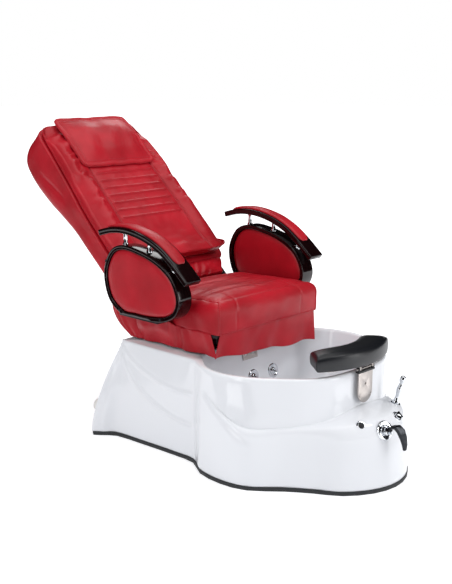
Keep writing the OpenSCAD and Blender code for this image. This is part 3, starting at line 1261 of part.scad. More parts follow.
base_shell();
base_trim();
chassis_frame();
seat_rails();
drain_fitting();
drain_pipe();
jet_bezels();
waterfall_spout();
jet_pump();
mixer_body();
diverter_body();
air_button_bezel();
spray_holder();
footrest_guide();
mixer_hub();
mixer_lever();
diverter_knob();
air_button();
spray_handle();
jet_nozzle(0);  // jet_nozzle_1
jet_nozzle(1);  // jet_nozzle_2
jet_nozzle(2);  // jet_nozzle_3
footrest_post();
footrest_hinge();
footrest_plate();
footrest_pad();
slide_motor();
slide_screw();
seat_carriage();
seat_pan();
seat_cushion();
skirt_front();
skirt_right();
skirt_left();
skirt_rear();
arm_brackets();
arm_ring_right();
arm_ring_left();
arm_panel_right();
arm_panel_left();
arm_bar_right();
arm_bar_left();
arm_pad_right();
arm_pad_left();
arm_posts();
arm_bolts();
recline_pins();
recline_actuator();
actuator_rod();
back_frame();
back_shell();
back_cushion();
lumbar_cushion();
head_pillow();
massage_rails();
massage_carriage();
massage_rollers();
massage_screw();
massage_motor();
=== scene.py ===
import math

import bpy
import numpy as np
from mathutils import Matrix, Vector


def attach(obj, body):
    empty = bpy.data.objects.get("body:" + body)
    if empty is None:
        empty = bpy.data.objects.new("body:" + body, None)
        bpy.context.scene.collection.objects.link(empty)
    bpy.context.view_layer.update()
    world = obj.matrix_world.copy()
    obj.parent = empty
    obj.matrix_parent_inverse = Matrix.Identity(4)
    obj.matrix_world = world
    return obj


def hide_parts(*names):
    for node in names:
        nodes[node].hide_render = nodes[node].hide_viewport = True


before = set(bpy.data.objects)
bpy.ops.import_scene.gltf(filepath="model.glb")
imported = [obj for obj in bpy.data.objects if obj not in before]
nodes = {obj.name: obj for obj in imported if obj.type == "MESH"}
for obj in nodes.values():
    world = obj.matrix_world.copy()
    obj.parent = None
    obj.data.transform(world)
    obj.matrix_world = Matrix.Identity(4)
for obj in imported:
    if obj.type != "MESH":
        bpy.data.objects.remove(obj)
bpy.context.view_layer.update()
scene = bpy.context.scene


# ---- Camera ----
# A portrait view of the chair's front right, from a little above the armrests, through a
# lens long enough to keep its uprights nearly parallel.
def placed(name, data):
    """A new object in the scene."""
    made = bpy.data.objects.new(name, data)
    scene.collection.objects.link(made)
    return made


long_side = 584
focal_px = 981
turn, rise, distance = math.radians(-46.3), math.radians(12.6), 3.465
looks_at = Vector((0, 0.131, 0.513))
camera = placed("camera", bpy.data.cameras.new("camera"))
camera.data.sensor_width = 36
camera.data.lens = 36 * focal_px / long_side
away = Vector((math.sin(turn) * math.cos(rise), -math.cos(turn) * math.cos(rise), math.sin(rise)))
camera.location = looks_at + distance * away
camera.rotation_euler = (-away).to_track_quat("-Z", "Y").to_euler()
scene.camera = camera
scene.view_settings.view_transform = "Standard"


# ---- Studio ----
# White paper under large soft lamps: high and low on the sitter's right, overhead, low in front,
# above the basin and high behind. Black cards keep the reds deep and give chrome its dark edges.
def linear(hex_colour):
    """An sRGB hex colour as the linear RGBA that shaders take."""
    parts = [int(hex_colour[k:k + 2], 16) / 255 for k in (1, 3, 5)]
    return [p / 12.92 if p <= 0.04045 else ((p + 0.055) / 1.055) ** 2.4 for p in parts] + [1.0]


def add(tree, kind, inputs=None, **settings):
    """Adds a node to a tree: its settings, then its inputs, each a value or another's output."""
    node = tree.nodes.new(kind)
    for name, value in settings.items():
        setattr(node, name, value)
    for name, value in (inputs or {}).items():
        if isinstance(value, bpy.types.NodeSocket):
            tree.links.new(value, node.inputs[name])
        else:
            node.inputs[name].default_value = value
    return node


def new_tree(name):
    """A material with an empty tree, ready for its own nodes."""
    finish = bpy.data.materials.new(name)
    finish.use_nodes = True
    finish.node_tree.nodes.clear()
    return finish, finish.node_tree


def backdrop_rays(tree):
    """1 for the rays that see the backdrop itself: the camera's, mirrored ones and those through glass."""
    ray = add(tree, "ShaderNodeLightPath")
    seen = add(tree, "ShaderNodeMath", {0: ray.outputs["Is Camera Ray"], 1: ray.outputs["Is Glossy Ray"]},
               operation="ADD")
    return add(tree, "ShaderNodeMath", {0: seen.outputs[0], 1: ray.outputs["Is Transmission Ray"]},
               operation="ADD", use_clamp=True).outputs[0]


world = bpy.data.worlds.new("studio")
scene.world = world
world.use_nodes = True
sky = world.node_tree
sky.nodes.clear()
room = add(sky, "ShaderNodeBackground", {"Color": linear("#F8F8FA"), "Strength": 0.63})
backdrop = add(sky, "ShaderNodeBackground", {"Color": linear("#FFFFFF"), "Strength": 1.0})
both = add(sky, "ShaderNodeMixShader", {0: backdrop_rays(sky), 1: room.outputs[0], 2: backdrop.outputs[0]})
add(sky, "ShaderNodeOutputWorld", {"Surface": both.outputs[0]})


def softbox(name, place, aim, width, height, watts):
    """An area lamp, sized in metres, that faces a point."""
    lamp = placed(name, bpy.data.lights.new(name, "AREA"))
    lamp.data.shape = "RECTANGLE"
    lamp.data.size, lamp.data.size_y, lamp.data.energy = width, height, watts
    lamp.location = place
    lamp.rotation_euler = (Vector(aim) - Vector(place)).to_track_quat("-Z", "Y").to_euler()


softbox("key lamp", (-3.0, 0.2, 2.5), (0, 0.1, 0.5), 1.2, 1.4, 18)
softbox("overhead lamp", (0.1, 0.2, 3.2), (0, 0, 0.3), 2.7, 2.7, 28)
softbox("left strip", (-2.2, -0.25, 0.8), (0, -0.2, 0.6), 0.32, 1.5, 5)
softbox("front strip", (1.0, -2.7, 1.0), (0, -0.3, 0.5), 0.7, 1.5, 17)
softbox("basin lamp", (0.5, -1.7, 2.5), (0, -0.05, 0.3), 0.6, 0.6, 12)
softbox("rear lamp", (1.9, 2.1, 2.5), (0, 0.6, 0.8), 0.9, 0.9, 7)


def place_of(tree):
    """Where a point lies on the piece, in metres."""
    return add(tree, "ShaderNodeTexCoord").outputs["Object"]


def flat_sheet(name, corners, finish):
    """A flat sheet that belongs to the studio."""
    mesh = bpy.data.meshes.new(name)
    mesh.from_pydata(corners, [], [(0, 1, 2, 3)])
    mesh.materials.append(finish)
    made = placed(name, mesh)
    return made


def card(name, corners, finish):
    """A card that the camera never sees, only reflections."""
    made = flat_sheet(name, corners, finish)
    made.visible_camera = made.visible_diffuse = made.visible_shadow = False


black, tree = new_tree("black card")
cloth = add(tree, "ShaderNodeBsdfDiffuse", {"Color": linear("#1A1A1C")})
add(tree, "ShaderNodeOutputMaterial", {"Surface": cloth.outputs[0]})
walls_at, card_foot, ceiling = 3.6, 0.25, 3.7
square = [(-1, -1), (1, -1), (1, 1), (-1, 1)]
corners = [(walls_at * x, walls_at * y) for x, y in square]
for k, name in enumerate(("front card", "right card", "rear card", "left card")):
    a, b = corners[k], corners[(k + 1) % 4]
    card(name, [(*a, card_foot), (*b, card_foot), (*b, ceiling), (*a, ceiling)], black)
card("ceiling card", [(*corner, ceiling) for corner in corners], black)
low_card, low_pane = 0.001, 0.004       # both lie just above the floor
card("low card", [(x, y, low_card) for x, y in ((-3.4, -0.6), (-0.9, -0.6), (-0.9, 3.4), (-3.4, 3.4))], black)
# two bright panes lie where the basin's wall mirrors the floor
bright, tree = new_tree("bright pane")
shine = add(tree, "ShaderNodeEmission", {"Color": linear("#FFFFFF"), "Strength": 2.6})
add(tree, "ShaderNodeOutputMaterial", {"Surface": shine.outputs[0]})
for name, plan in (("left pane", ((-1.04, -0.38), (-1.36, -0.3), (-1.36, 0.16), (-1.04, 0.03))),
                   ("front pane", ((0.22, -1.1), (0.36, -1.37), (0.77, -0.99), (0.57, -0.86)))):
    card(name, [(x, y, low_pane) for x, y in plan], bright)

paper, tree = new_tree("studio paper")
matt = add(tree, "ShaderNodeBsdfDiffuse", {"Color": linear("#EDEEF0")})
glow = add(tree, "ShaderNodeEmission", {"Color": linear("#FFFFFF")})
# far from the chair, where the lamps fade, the paper glows to a full white
from_chair = add(tree, "ShaderNodeVectorMath", {0: place_of(tree)}, operation="LENGTH")
fade = add(tree, "ShaderNodeMapRange", {
    "Value": from_chair.outputs["Value"], "From Min": 1.4, "From Max": 3.6, "To Min": 0.46, "To Max": 1.0})
tree.links.new(fade.outputs[0], glow.inputs["Strength"])
lit = add(tree, "ShaderNodeAddShader", {0: matt.outputs[0], 1: glow.outputs[0]})
both = add(tree, "ShaderNodeMixShader", {0: backdrop_rays(tree), 1: matt.outputs[0], 2: lit.outputs[0]})
add(tree, "ShaderNodeOutputMaterial", {"Surface": both.outputs[0]})
reach = 30.0
flat_sheet("floor", [(reach * x, reach * y, 0) for x, y in square], paper)


# ---- Base moulding ----
# The basin, console and seat pedestal are one glossy acrylic sheet, vacuum formed and backed
# with glass fibre. Two shallow ribs sweep from the pedestal into the basin's shoulder.
def finish_of(name, colour, roughness, ior=1.5, metallic=0.0):
    """A material with its surface shader, which each piece's section then details."""
    made, tree = new_tree(name)
    shader = add(tree, "ShaderNodeBsdfPrincipled", {
        "Base Color": linear(colour), "Roughness": roughness, "IOR": ior, "Metallic": metallic})
    add(tree, "ShaderNodeOutputMaterial", {"Surface": shader.outputs[0]})
    return made, tree, shader


def raise_surface(tree, shader, height, depth, strength=1.0, below=None):
    """Bumps a surface by a pattern, whose full height is depth in metres."""
    inputs = {"Height": height, "Distance": depth, "Strength": strength}
    if below:
        inputs["Normal"] = below
    bump = add(tree, "ShaderNodeBump", inputs)
    tree.links.new(bump.outputs[0], shader.inputs["Normal"])
    return bump.outputs[0]


def xyz(x, y, z):
    """Points from their coordinates, each an array or one number for all."""
    return np.stack(np.broadcast_arrays(x, y, z), -1)


def skin(name, points, faces, finish):
    """A smooth piece from points in millimetres and its faces."""
    mesh = bpy.data.meshes.new(name)
    mesh.from_pydata((np.asarray(points, float).reshape(-1, 3) * 0.001).tolist(), [], faces)
    mesh.validate()
    mesh.shade_smooth()
    mesh.materials.append(finish)
    return placed(name, mesh)


def tube_skin(rows, ring=False):
    """Points and faces of a skin through closed rows of points, with two end faces or as a ring."""
    number = np.arange(len(rows) * len(rows[0])).reshape(len(rows), -1)
    following = np.roll(number, -1, 0) if ring else number[1:]
    faces = [face for a, b in zip(number, following)
             for face in np.stack([a, np.roll(a, -1), np.roll(b, -1), b], 1).tolist()]
    if not ring:
        faces += [number[0, ::-1].tolist(), number[-1].tolist()]
    return np.concatenate(rows), faces


def stand_in(piece, node, body):
    """Puts a piece in its CAD node's place, on the body that it rides on."""
    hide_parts(node)
    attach(piece, body)


def curve_through(guide, steps, closed=False):
    """A smooth curve through its guide points, each stretch in so many steps."""
    guide = np.asarray(guide, float)
    n = len(guide)
    t = np.linspace(0, 1, steps, endpoint=False)[:, None]
    made = []
    for k in range(n if closed else n - 1):
        at = [(k + d) % n if closed else min(max(k + d, 0), n - 1) for d in (-1, 0, 1, 2)]
        p, q, r, s = guide[at]
        made.append(0.5 * (2 * q + (r - p) * t + (2 * p - 5 * q + 4 * r - s) * t * t
                           + (3 * q - p - 3 * r + s) * t ** 3))
    return np.concatenate(made if closed else made + [guide[-1:]])


def ease(t):
    """0 before 0, 1 after 1 and a smooth step between."""
    t = np.clip(t, 0, 1)
    return t * t * (3 - 2 * t)


def mix(a, b, t):
    """From a at 0 to b at 1."""
    return a + (b - a) * t


def half_curve(guide, steps):
    """Half an outline, square to the centre plane at both ends."""
    guide = [[-guide[1][0], guide[1][1]]] + list(guide) + [[-guide[-2][0], guide[-2][1]]]
    return curve_through(guide, steps)[steps:-steps]


def whole(half):
    """Both halves of an outline, or of values round it."""
    other = half[-2:0:-1].copy()
    if other.ndim > 1:
        other[:, 0] *= -1
    return np.concatenate([half, other])


def outward(ring):
    """The level direction out of a ring at each of its points."""
    t = np.roll(ring, -1, 0) - np.roll(ring, 1, 0)
    return np.stack([t[:, 1], -t[:, 0]], 1) / np.linalg.norm(t[:, :2], axis=1)[:, None]


basin_half, pedestal_half, flare_half, console_half = 363, 300, 363, 218
nose, tail = 605, 459
basin_front, pedestal_rear, basin_rear = 462, 362, 28
rim_height, deck_height, bowl_height = 355, 234, 150
wall, rim_width, trim_height = 5, 17, 14
guide_steps = 12
floor_ring = whole(half_curve([
    [0, -nose], [0.41 * console_half, 20 - nose], [0.78 * console_half, 77 - nose],
    [console_half, 155 - nose], [console_half + 50, 228 - nose], [basin_half - 20, -285],
    [basin_half, -190], [basin_half - 14, -88], [pedestal_half + 2, -8], [pedestal_half - 1, 90],
    [pedestal_half + 6, 240], [pedestal_half + 16, 367], [flare_half - 12, tail - 45],
    [flare_half - 6, tail - 6], [0.5 * flare_half, tail], [0, tail]], guide_steps))
top_ring = whole(half_curve([
    [0, -basin_front], [72, 1 - basin_front], [142, 13 - basin_front], [206, 48 - basin_front],
    [262, 109 - basin_front], [basin_half - 38, -262], [basin_half - 13, -175],
    [basin_half - 26, -88], [pedestal_half, -6], [pedestal_half - 4, 80], [pedestal_half - 4, 200],
    [pedestal_half - 4, 290], [pedestal_half - 6, pedestal_rear - 18],
    [pedestal_half - 22, pedestal_rear - 1], [0.5 * pedestal_half, pedestal_rear],
    [0, pedestal_rear]], guide_steps))
bowl_ring = whole(half_curve([
    [0, rim_width - basin_front], [69, rim_width + 1 - basin_front],
    [135, rim_width + 12 - basin_front], [195, 60 - basin_front], [248, 119 - basin_front],
    [basin_half - 38 - rim_width, -258], [basin_half - 13 - rim_width, -172],
    [basin_half - 26 - rim_width, -90], [pedestal_half - 26, basin_rear - 52],
    [pedestal_half - 52, basin_rear - 18], [pedestal_half - 98, basin_rear - 4],
    [150, basin_rear - 1], [110, basin_rear], [75, basin_rear], [40, basin_rear],
    [0, basin_rear]], guide_steps))


def around(values):
    """A value at each guide point, spread smoothly round the rings."""
    half = curve_through(np.array(values, float)[:, None], guide_steps)[:, 0]
    return whole(half)


shoulder = around([deck_height + up for up in (0, -4, -14, -25, -36, -41, 2, 50)] + [rim_height - 60] * 8)
slant = around([1, 1, 1, 1.2, 1.6, 1.8, 1.6, 1.2] + [1] * 8)
plain = np.clip(around([0] * 7 + [0.25, 0.75] + [1] * 7), 0, 1)
# rows of the wall: how far each has come from the floor's outline to the rim's, and its height
shares = [0, 0.02, 0.04, 0.1, 0.2, 0.36, 0.7, 0.93, 1, 1]
heights = np.broadcast_arrays(trim_height, 0.3 * shoulder, shoulder - 64 * slant, shoulder - 34 * slant,
                              shoulder - 15 * slant, shoulder - 5 * slant, shoulder, shoulder + 3,
                              shoulder + 16, rim_height - 14)
wall_rows = []
for share, height, level in zip(shares, heights, np.linspace(0, 1, len(shares))):
    share = mix(share, level ** 1.5, plain)
    height = mix(height, mix(trim_height, rim_height - 14, level), plain)
    wall_rows.append(xyz(*mix(floor_ring, top_ring, share[:, None]).T, height))
row_steps = 8
wall_grid = curve_through(np.array(wall_rows).reshape(len(shares), -1), row_steps)
wall_grid = wall_grid.reshape(-1, len(floor_ring), 3)

# two thin ribs fan out of the rear corner on each side, and one runs on round the basin
rib_high, rib_wide, ribs_outside = 4.6, 5.5, 270
out = outward(floor_ring)
for guide in ([[356, 338], [291, 291], [210, 258], [131, 239], [64, 233], [4, 236]],
              [[358, 322], [325, 270], [280, 214], [219, 177], [151, 149], [84, 133], [8, 126]]):
    ways = curve_through(guide, 12)
    off = np.full(wall_grid.shape[:2], np.inf)
    for a, b in zip(ways[:-1], ways[1:]):
        way, from_a = b - a, wall_grid[..., 1:] - a
        share = np.clip((from_a @ way) / (way @ way), 0, 1)
        off = np.minimum(off, np.linalg.norm(from_a - share[..., None] * way, axis=2))
    ridge = rib_high * np.exp(-(off / rib_wide) ** 2) * ease((wall_grid[..., 1] + 12) / 30)
    ridge *= np.abs(wall_grid[..., 0]) > ribs_outside
    wall_grid[..., :2] += ridge[..., None] * out

# lip: rolled over to the level rim, then down into the bowl
out = outward(top_ring)
lip_rows = [xyz(*(top_ring - inset * out).T, rim_height - drop)
            for inset, drop in ((0.3, 10), (1, 6.5), (2.4, 3.2), (4.6, 1.1), (7, 0.2))]
bowl_centre = np.array([0, -215])
near_rim = ((0.004, 1.5), (0.012, 6), (0.018, 16), (0.05, 60))
near_floor = ((0.085, 104), (0.12, 62), (0.155, 38), (0.2, 20), (0.26, 8), (0.34, 2), (0.5, 0), (0.97, 0))
bowl_path = curve_through([(share, rim_height - below) for share, below in near_rim]
                          + [(share, bowl_height + above) for share, above in near_floor], 2)
bowl_rows = [xyz(*mix(bowl_ring, bowl_centre, share).T, z) for share, z in [(0, rim_height), *bowl_path]]
points, faces = tube_skin([*wall_grid, *lip_rows, *bowl_rows])
del faces[-2]       # it is open at its foot
gelcoat, tree, shader = finish_of("vacuum formed acrylic, white", "#ECEEF2", 0.08, 1.49)
# Formed acrylic is glossy but never quite flat: slow waves about 60 mm long soften its reflections
waves = add(tree, "ShaderNodeTexNoise", {"Vector": place_of(tree), "Scale": 1 / 0.06, "Detail": 1.0})
raise_surface(tree, shader, waves.outputs["Fac"], 0.0006)
moulding = skin("base_moulding", points, faces, gelcoat)
solid = moulding.modifiers.new("sheet", "SOLIDIFY")
solid.thickness = wall * 0.001
solid.offset = -1
stand_in(moulding, "base_shell", "base")


# ---- Carried-over hard parts ----
# Metal, rubber and plastic parts whose solids are right keep them, with their sharp edges
# broken a little as tools and polishing wheels leave them.
def dress(names, finish, edge):
    """Gives CAD nodes a finish, and rounds their edges by so many millimetres."""
    for name in names.split():
        node = nodes[name]
        node.data.materials.clear()
        node.data.materials.append(finish)
        node.data.polygons.foreach_set("use_smooth", [True] * len(node.data.polygons))
        weld = node.modifiers.new("weld", "WELD")
        weld.merge_threshold = 0.02 * 0.001
        bevel = node.modifiers.new("broken edges", "BEVEL")
        bevel.width = edge * 0.001
        bevel.segments = 2
        bevel.limit_method = "ANGLE"
        bevel.angle_limit = math.radians(38)
        bevel.harden_normals = True


# Bright chrome over brass and ABS: a mirror with the faintest polishing haze
chrome, tree, shader = finish_of("bright chrome plate", "#D5D8DC", 0.07, metallic=1.0)
haze = add(tree, "ShaderNodeTexNoise", {"Vector": place_of(tree), "Scale": 1 / 0.012, "Detail": 2.0})
spread = add(tree, "ShaderNodeMapRange", {"Value": haze.outputs["Fac"], "To Min": 0.05, "To Max": 0.13})
tree.links.new(spread.outputs[0], shader.inputs["Roughness"])
dress("jet_bezels mixer_body mixer_hub diverter_body diverter_knob air_button_bezel spray_holder "
      "spray_handle arm_posts drain_fitting jet_nozzle_1 jet_nozzle_2 jet_nozzle_3", chrome, 0.5)

# Brushed 304 stainless: scratches along the sheet, a little warm
stainless, tree, shader = finish_of("brushed stainless steel", "#B9B2AE", 0.32, metallic=1.0)
grain = add(tree, "ShaderNodeMapping", {
    "Vector": place_of(tree), "Scale": (1 / 0.0012, 1 / 0.0012, 1 / 0.04)})
grain = add(tree, "ShaderNodeTexNoise", {"Vector": grain.outputs[0], "Scale": 1.0, "Detail": 3.0})
spread = add(tree, "ShaderNodeMapRange", {"Value": grain.outputs["Fac"], "To Min": 0.22, "To Max": 0.42})
tree.links.new(spread.outputs[0], shader.inputs["Roughness"])
raise_surface(tree, shader, grain.outputs["Fac"], 0.00008)
dress("footrest_guide footrest_post footrest_plate waterfall_spout slide_screw recline_pins actuator_rod "
      "massage_rails massage_screw", stainless, 0.4)

# The rest differ in colour, sheen and grain: its size and height in millimetres, and its detail
for names, name, colour, roughness, metallic, grain_size, grain_high, detail, edge in (
        # EPDM strip round the foot of the moulding: matt, faintly dusty
        ("base_trim", "extruded rubber trim", "#25272A", 0.62, 0, 4, 0.2, 3, 1.5),
        # powder coat on the steel frames: satin, with its fine orange peel
        ("chassis_frame seat_rails back_frame seat_carriage arm_brackets footrest_hinge seat_pan",
         "black powder coat", "#16171A", 0.42, 0, 2.5, 0.15, 2, 0.8),
        # nylon and ABS housings of the pump, motors and massage drive: spark-eroded, matt
        ("jet_pump slide_motor recline_actuator massage_motor massage_carriage air_button",
         "moulded black nylon", "#1B1C1F", 0.5, 0, 1.8, 0.1, 2, 0.8),
        # grey-white pipe of the drain: smooth and slightly cloudy
        ("drain_pipe", "extruded PVC pipe", "#E6E5E1", 0.35, 0, 20, 0.2, 2, 0.8),
        # kneading rollers: pale, with faint turning marks
        ("massage_rollers", "turned acetal", "#D9D5C8", 0.4, 0, 3, 0.1, 1, 0.8),
        # the mixer's lever and the arms' bolts: dark, nearly as bright as the chrome
        ("mixer_lever arm_bolts", "black chrome plate", "#2A2C30", 0.14, 0.75, 10, 0.2, 2, 0.5)):
    finish, tree, shader = finish_of(name, colour, roughness, metallic=metallic)
    grain = add(tree, "ShaderNodeTexNoise", {
        "Vector": place_of(tree), "Scale": 1000 / grain_size, "Detail": detail})
    raise_surface(tree, shader, grain.outputs["Fac"], grain_high * 0.001)
    dress(names, finish, edge)


# ---- Arms' bentwood ----
# Rings and bars of bent beech, stained nearly black and lacquered thickly: deep gloss with a
# warm brown where the light goes in.
lacquer, tree, shader = finish_of("stained beech under lacquer", "#120507", 0.1)
where = add(tree, "ShaderNodeMapping", {"Vector": place_of(tree), "Scale": (1 / 0.004, 1 / 0.06, 1 / 0.06)})
figure = add(tree, "ShaderNodeTexNoise", {"Vector": where.outputs[0], "Scale": 1.0, "Detail": 4.0})
stain = add(tree, "ShaderNodeValToRGB", {"Fac": figure.outputs["Fac"]})
stain.color_ramp.elements[0].color = linear("#070203")
stain.color_ramp.elements[1].color = linear("#1A0708")
tree.links.new(stain.outputs["Color"], shader.inputs["Base Color"])
raise_surface(tree, shader, figure.outputs["Fac"], 0.0001)


def rounded_section(half, thick, radius):
    """Across and inwards: the section of a bent strip with rounded edges."""
    middles = ((half - radius, radius), (half - radius, thick - radius),
               (radius - half, thick - radius), (radius - half, radius))
    turns = [np.radians(90 * k - 90 + np.arange(0, 91, 22.5)) for k in range(4)]
    return [(x + radius * math.cos(turn), d + radius * math.sin(turn))
            for (x, d), corner in zip(middles, turns) for turn in corner]


def outside_out(points, faces):
    """Points and faces of a closed skin, its faces turned outwards."""
    a, b, c = (points[[f[k] for f in faces]] - points.mean(0) for k in range(3))
    return points, faces if np.sum(a * np.cross(b, c)) > 0 else [f[::-1] for f in faces]


def across_strip(side, at, out, section):
    """A row of a strip: its section set at a point of its line, with the way out of it."""
    return np.array([(side * (arm_middle + x), *(at - d * out)) for x, d in section])


def bentwood(node, rows, ring=False):
    """A bent and lacquered strip, from the sections along it."""
    strip = skin(node + "_bentwood", *outside_out(*tube_skin(rows, ring)), lacquer)
    stand_in(strip, node, "carriage")


arm_middle, ring_half, ring_thick = 312, 30, 15
ring = curve_through([[295, 704], [354, 674], [387, 598], [364, 510], [296, 464], [230, 462], [160, 463],
                      [82, 475], [30, 506], [14, 560], [46, 626], [116, 671], [208, 697]], 12, closed=True)
ring_out = -outward(ring)       # the guide runs clockwise
# the ring rests on the pan's flange
flange_top, flange_front, flange_rear = 466.2, 125, 319
for side, name in ((-1, "arm_ring_right"), (1, "arm_ring_left")):
    rows = []
    for at, out in zip(ring, ring_out):
        row = across_strip(side, at, out, rounded_section(ring_half, ring_thick, 3))
        if flange_front < at[0] < flange_rear and at[1] < 500:
            row[:, 2] = np.maximum(row[:, 2], flange_top)
        rows.append(row)
    bentwood(name, rows, ring=True)

# The bars: a wider strip, bent over the posts, its front end cut square
bar_line = curve_through([[408, 744], [340, 761], [258, 764], [168, 747], [93, 715], [30, 671],
                          [-28, 622]], 12)
along = np.gradient(bar_line, axis=0)
along /= np.linalg.norm(along, axis=1)[:, None]
up = np.stack([along[:, 1], -along[:, 0]], 1)
up *= np.sign(up[:, 1:])
bar_half, bar_thick, bar_edge = 33, 20, 2.5
end_inset, end_depth = 1.5, 1.2     # each end's own section is smaller, and stands out a little
last = len(bar_line) - 1
for side, name in ((-1, "arm_bar_right"), (1, "arm_bar_left")):
    rows = []
    for k, inset in [(0, end_inset)] + [(k, 0) for k in range(last + 1)] + [(last, end_inset)]:
        middle = bar_line[k]
        if k in (0, last) and not inset:
            middle = middle + along[k] * (end_depth if k == 0 else -end_depth)
        section = rounded_section(bar_half - inset, bar_thick - 2 * inset, bar_edge - inset)
        rows.append(across_strip(side, middle, up[k], [(x, d + inset) for x, d in section]))
    bentwood(name, rows)


# ---- Red upholstery ----
# Red PU leather, semi-gloss: a pebbled grain of about 1.5 mm, drawn at 2.4 mm so that it shows,
# with slow changes of tone where hands and stretching have polished it.
sheen, grain_size, crease_size, tone_size = 0.34, 0.0024, 0.018, 0.11
red_leather, tree, shader = finish_of("red PU leather", "#BA1425", sheen, 1.47)
shader.inputs["Specular IOR Level"].default_value = 0.42
where = place_of(tree)
tone = add(tree, "ShaderNodeTexNoise", {"Vector": where, "Scale": 1 / tone_size, "Detail": 3.0})
blend = add(tree, "ShaderNodeValToRGB", {"Fac": tone.outputs["Fac"]})
for stop, at, colour in zip(blend.color_ramp.elements, (0.32, 0.68), ("#A20E1C", "#BA1425")):
    stop.position, stop.color = at, linear(colour)
tree.links.new(blend.outputs["Color"], shader.inputs["Base Color"])
grain = add(tree, "ShaderNodeTexVoronoi", {"Vector": where, "Scale": 1 / grain_size}, feature="SMOOTH_F1")
grained = raise_surface(tree, shader, grain.outputs["Distance"], 0.00035, 0.6)
creases = add(tree, "ShaderNodeTexNoise", {"Vector": where, "Scale": 1 / crease_size, "Detail": 4.0})
raise_surface(tree, shader, creases.outputs["Fac"], 0.0006, 0.5, grained)
polish = add(tree, "ShaderNodeMapRange", {
    "Value": creases.outputs["Fac"], "To Min": sheen - 0.05, "To Max": sheen + 0.1})
tree.links.new(polish.outputs[0], shader.inputs["Roughness"])


# ---- Seat cushion ----
# A thick foam block under red leather: crowned, its front rolled over, with two seams from back
# to front, side panels sewn on with a welt, and a band round its foot.
def edge_of(grid):
    """The points round a grid's edge, in order."""
    return np.concatenate([grid[0, :-1], grid[:-1, -1], grid[-1, :0:-1], grid[:0:-1, 0]])


def rolled(top, waist, foot, up, steps):
    """Rows from a cushion's top edge over its side to its foot, each a quarter turn."""
    up = np.array(up, float)
    rows = []
    for a, b in ((top, waist), (waist, foot)):
        side = b - a
        fall = (side @ up)[:, None] * up
        corner = a + (side - fall) if a is top else a + fall
        for k in range(1, steps + 1):
            t = k / steps
            rows.append((1 - t) ** 2 * a + 2 * t * (1 - t) * corner + t * t * b)
    return rows


def grid_faces(number, turned=False):
    """Faces of a grid of points, given by their numbers, or turned to its other side."""
    a, b, c, d = number[:-1, :-1], number[:-1, 1:], number[1:, 1:], number[1:, :-1]
    return np.stack([a, d, c, b] if turned else [a, b, c, d], -1).reshape(-1, 4).tolist()


def cushion_skin(top, rows, foot):
    """Points and faces of a closed cushion: its top, the rows round its side, its foot."""
    number = np.arange(top[..., 0].size).reshape(top.shape[:2])
    rim = above = edge_of(number)
    faces = grid_faces(number)
    for k in range(len(rows)):
        under = number.size + k * len(rim) + np.arange(len(rim))
        faces += np.stack([above, under, np.roll(under, -1), np.roll(above, -1)], 1).tolist()
        above = under
    inner = foot[1:-1, 1:-1]
    below = np.empty_like(number)
    below[1:-1, 1:-1] = above[-1] + 1 + np.arange(inner[..., 0].size).reshape(inner.shape[:2])
    below.flat[rim] = above
    points = np.concatenate([top.reshape(-1, 3), *rows, inner.reshape(-1, 3)])
    return points, faces + grid_faces(below, turned=True)


def covered(node, points, faces, fill, body):
    """A padded piece under red leather, in its CAD node's place."""
    piece = skin(node + "_cover", *outside_out(points, faces), red_leather)
    stand_in(piece, node, body)


def unit_grid(nu, nv):
    """Grids of u and v from 0 to 1."""
    return np.meshgrid(np.linspace(0, 1, nu + 1), np.linspace(0, 1, nv + 1))


def seam(distance, width, depth):
    """A sewn valley across a surface."""
    return depth * np.exp(-(distance / width) ** 2)


def wander(points, size, seed):
    """A slow, smooth variation over space between about -1 and 1, from a fixed seed."""
    chance = np.random.default_rng(seed)
    total = 0
    for _ in range(9):
        way = chance.normal(size=3)
        way *= chance.uniform(0.6, 1.5) / np.linalg.norm(way) / size
        total = total + np.sin(points @ way * 2 * math.pi + chance.uniform(0, 2 * math.pi))
    return total / 3.2


seat_half, seat_front, seat_rear, seat_foot, seat_top = 256, -78, 296, 440, 548
top_half, foot_half, panel_half = seat_half - 30, seat_half - 2.5, 150
front_roll, rear_roll, rear_drop, front_waist, rear_waist = 34, 14, 14, 56, 46
u, t = unit_grid(110, 84)
s = 2 * u - 1
roll = 4 * (1 - t) ** 9 + 5 * np.abs(s) ** 10
crown = 12 * (1 - np.abs(s) ** 4) * (1 - np.abs(2 * t - 1) ** 8)
sewn = seam(np.abs(s) * top_half - panel_half, 3.2, 2.6) * (1 - 0.2 * t)
corner = 1 - 0.03 * np.abs(2 * t - 1) ** 10
top = xyz(s * top_half * corner, mix(seat_front + front_roll, seat_rear - rear_roll, t),
          mix(seat_top, seat_top - rear_drop, t) - roll + crown - sewn)
pull = wander(top * [1, 2.2, 1], 120, 3) * 1.6
# folds across the rear half, where the hips press
hips = np.exp(-((np.abs(s) - 0.55) / 0.3) ** 2) * np.exp(-((t - 0.86) / 0.16) ** 2)
folds = np.maximum(0, np.sin(top[..., 1] / 9 + 2.4 * s + wander(top, 90, 5))) ** 2 * 5 * hips
top[..., 2] += pull - folds
sewn = seam(np.abs(s) * top_half - panel_half, 3.2, 2.4) * (t < 0.01)
waist = edge_of(xyz(s * seat_half * corner, mix(seat_front, seat_rear, t) + sewn,
                    mix(seat_foot + front_waist, seat_foot + rear_waist, t)))
foot = xyz(s * foot_half, mix(seat_front + 4, seat_rear - 5, t), seat_foot + 0.3)
seat_hem = edge_of(xyz(foot[..., 0] * corner, foot[..., 1], foot[..., 2]))
rows = rolled(edge_of(top), waist, seat_hem, (0, 0, 1), 10)
for row in rows:
    row += (row - row.mean(0)) * [1, 1, 0] * (wander(row, 70, 8) * 0.004)[:, None]
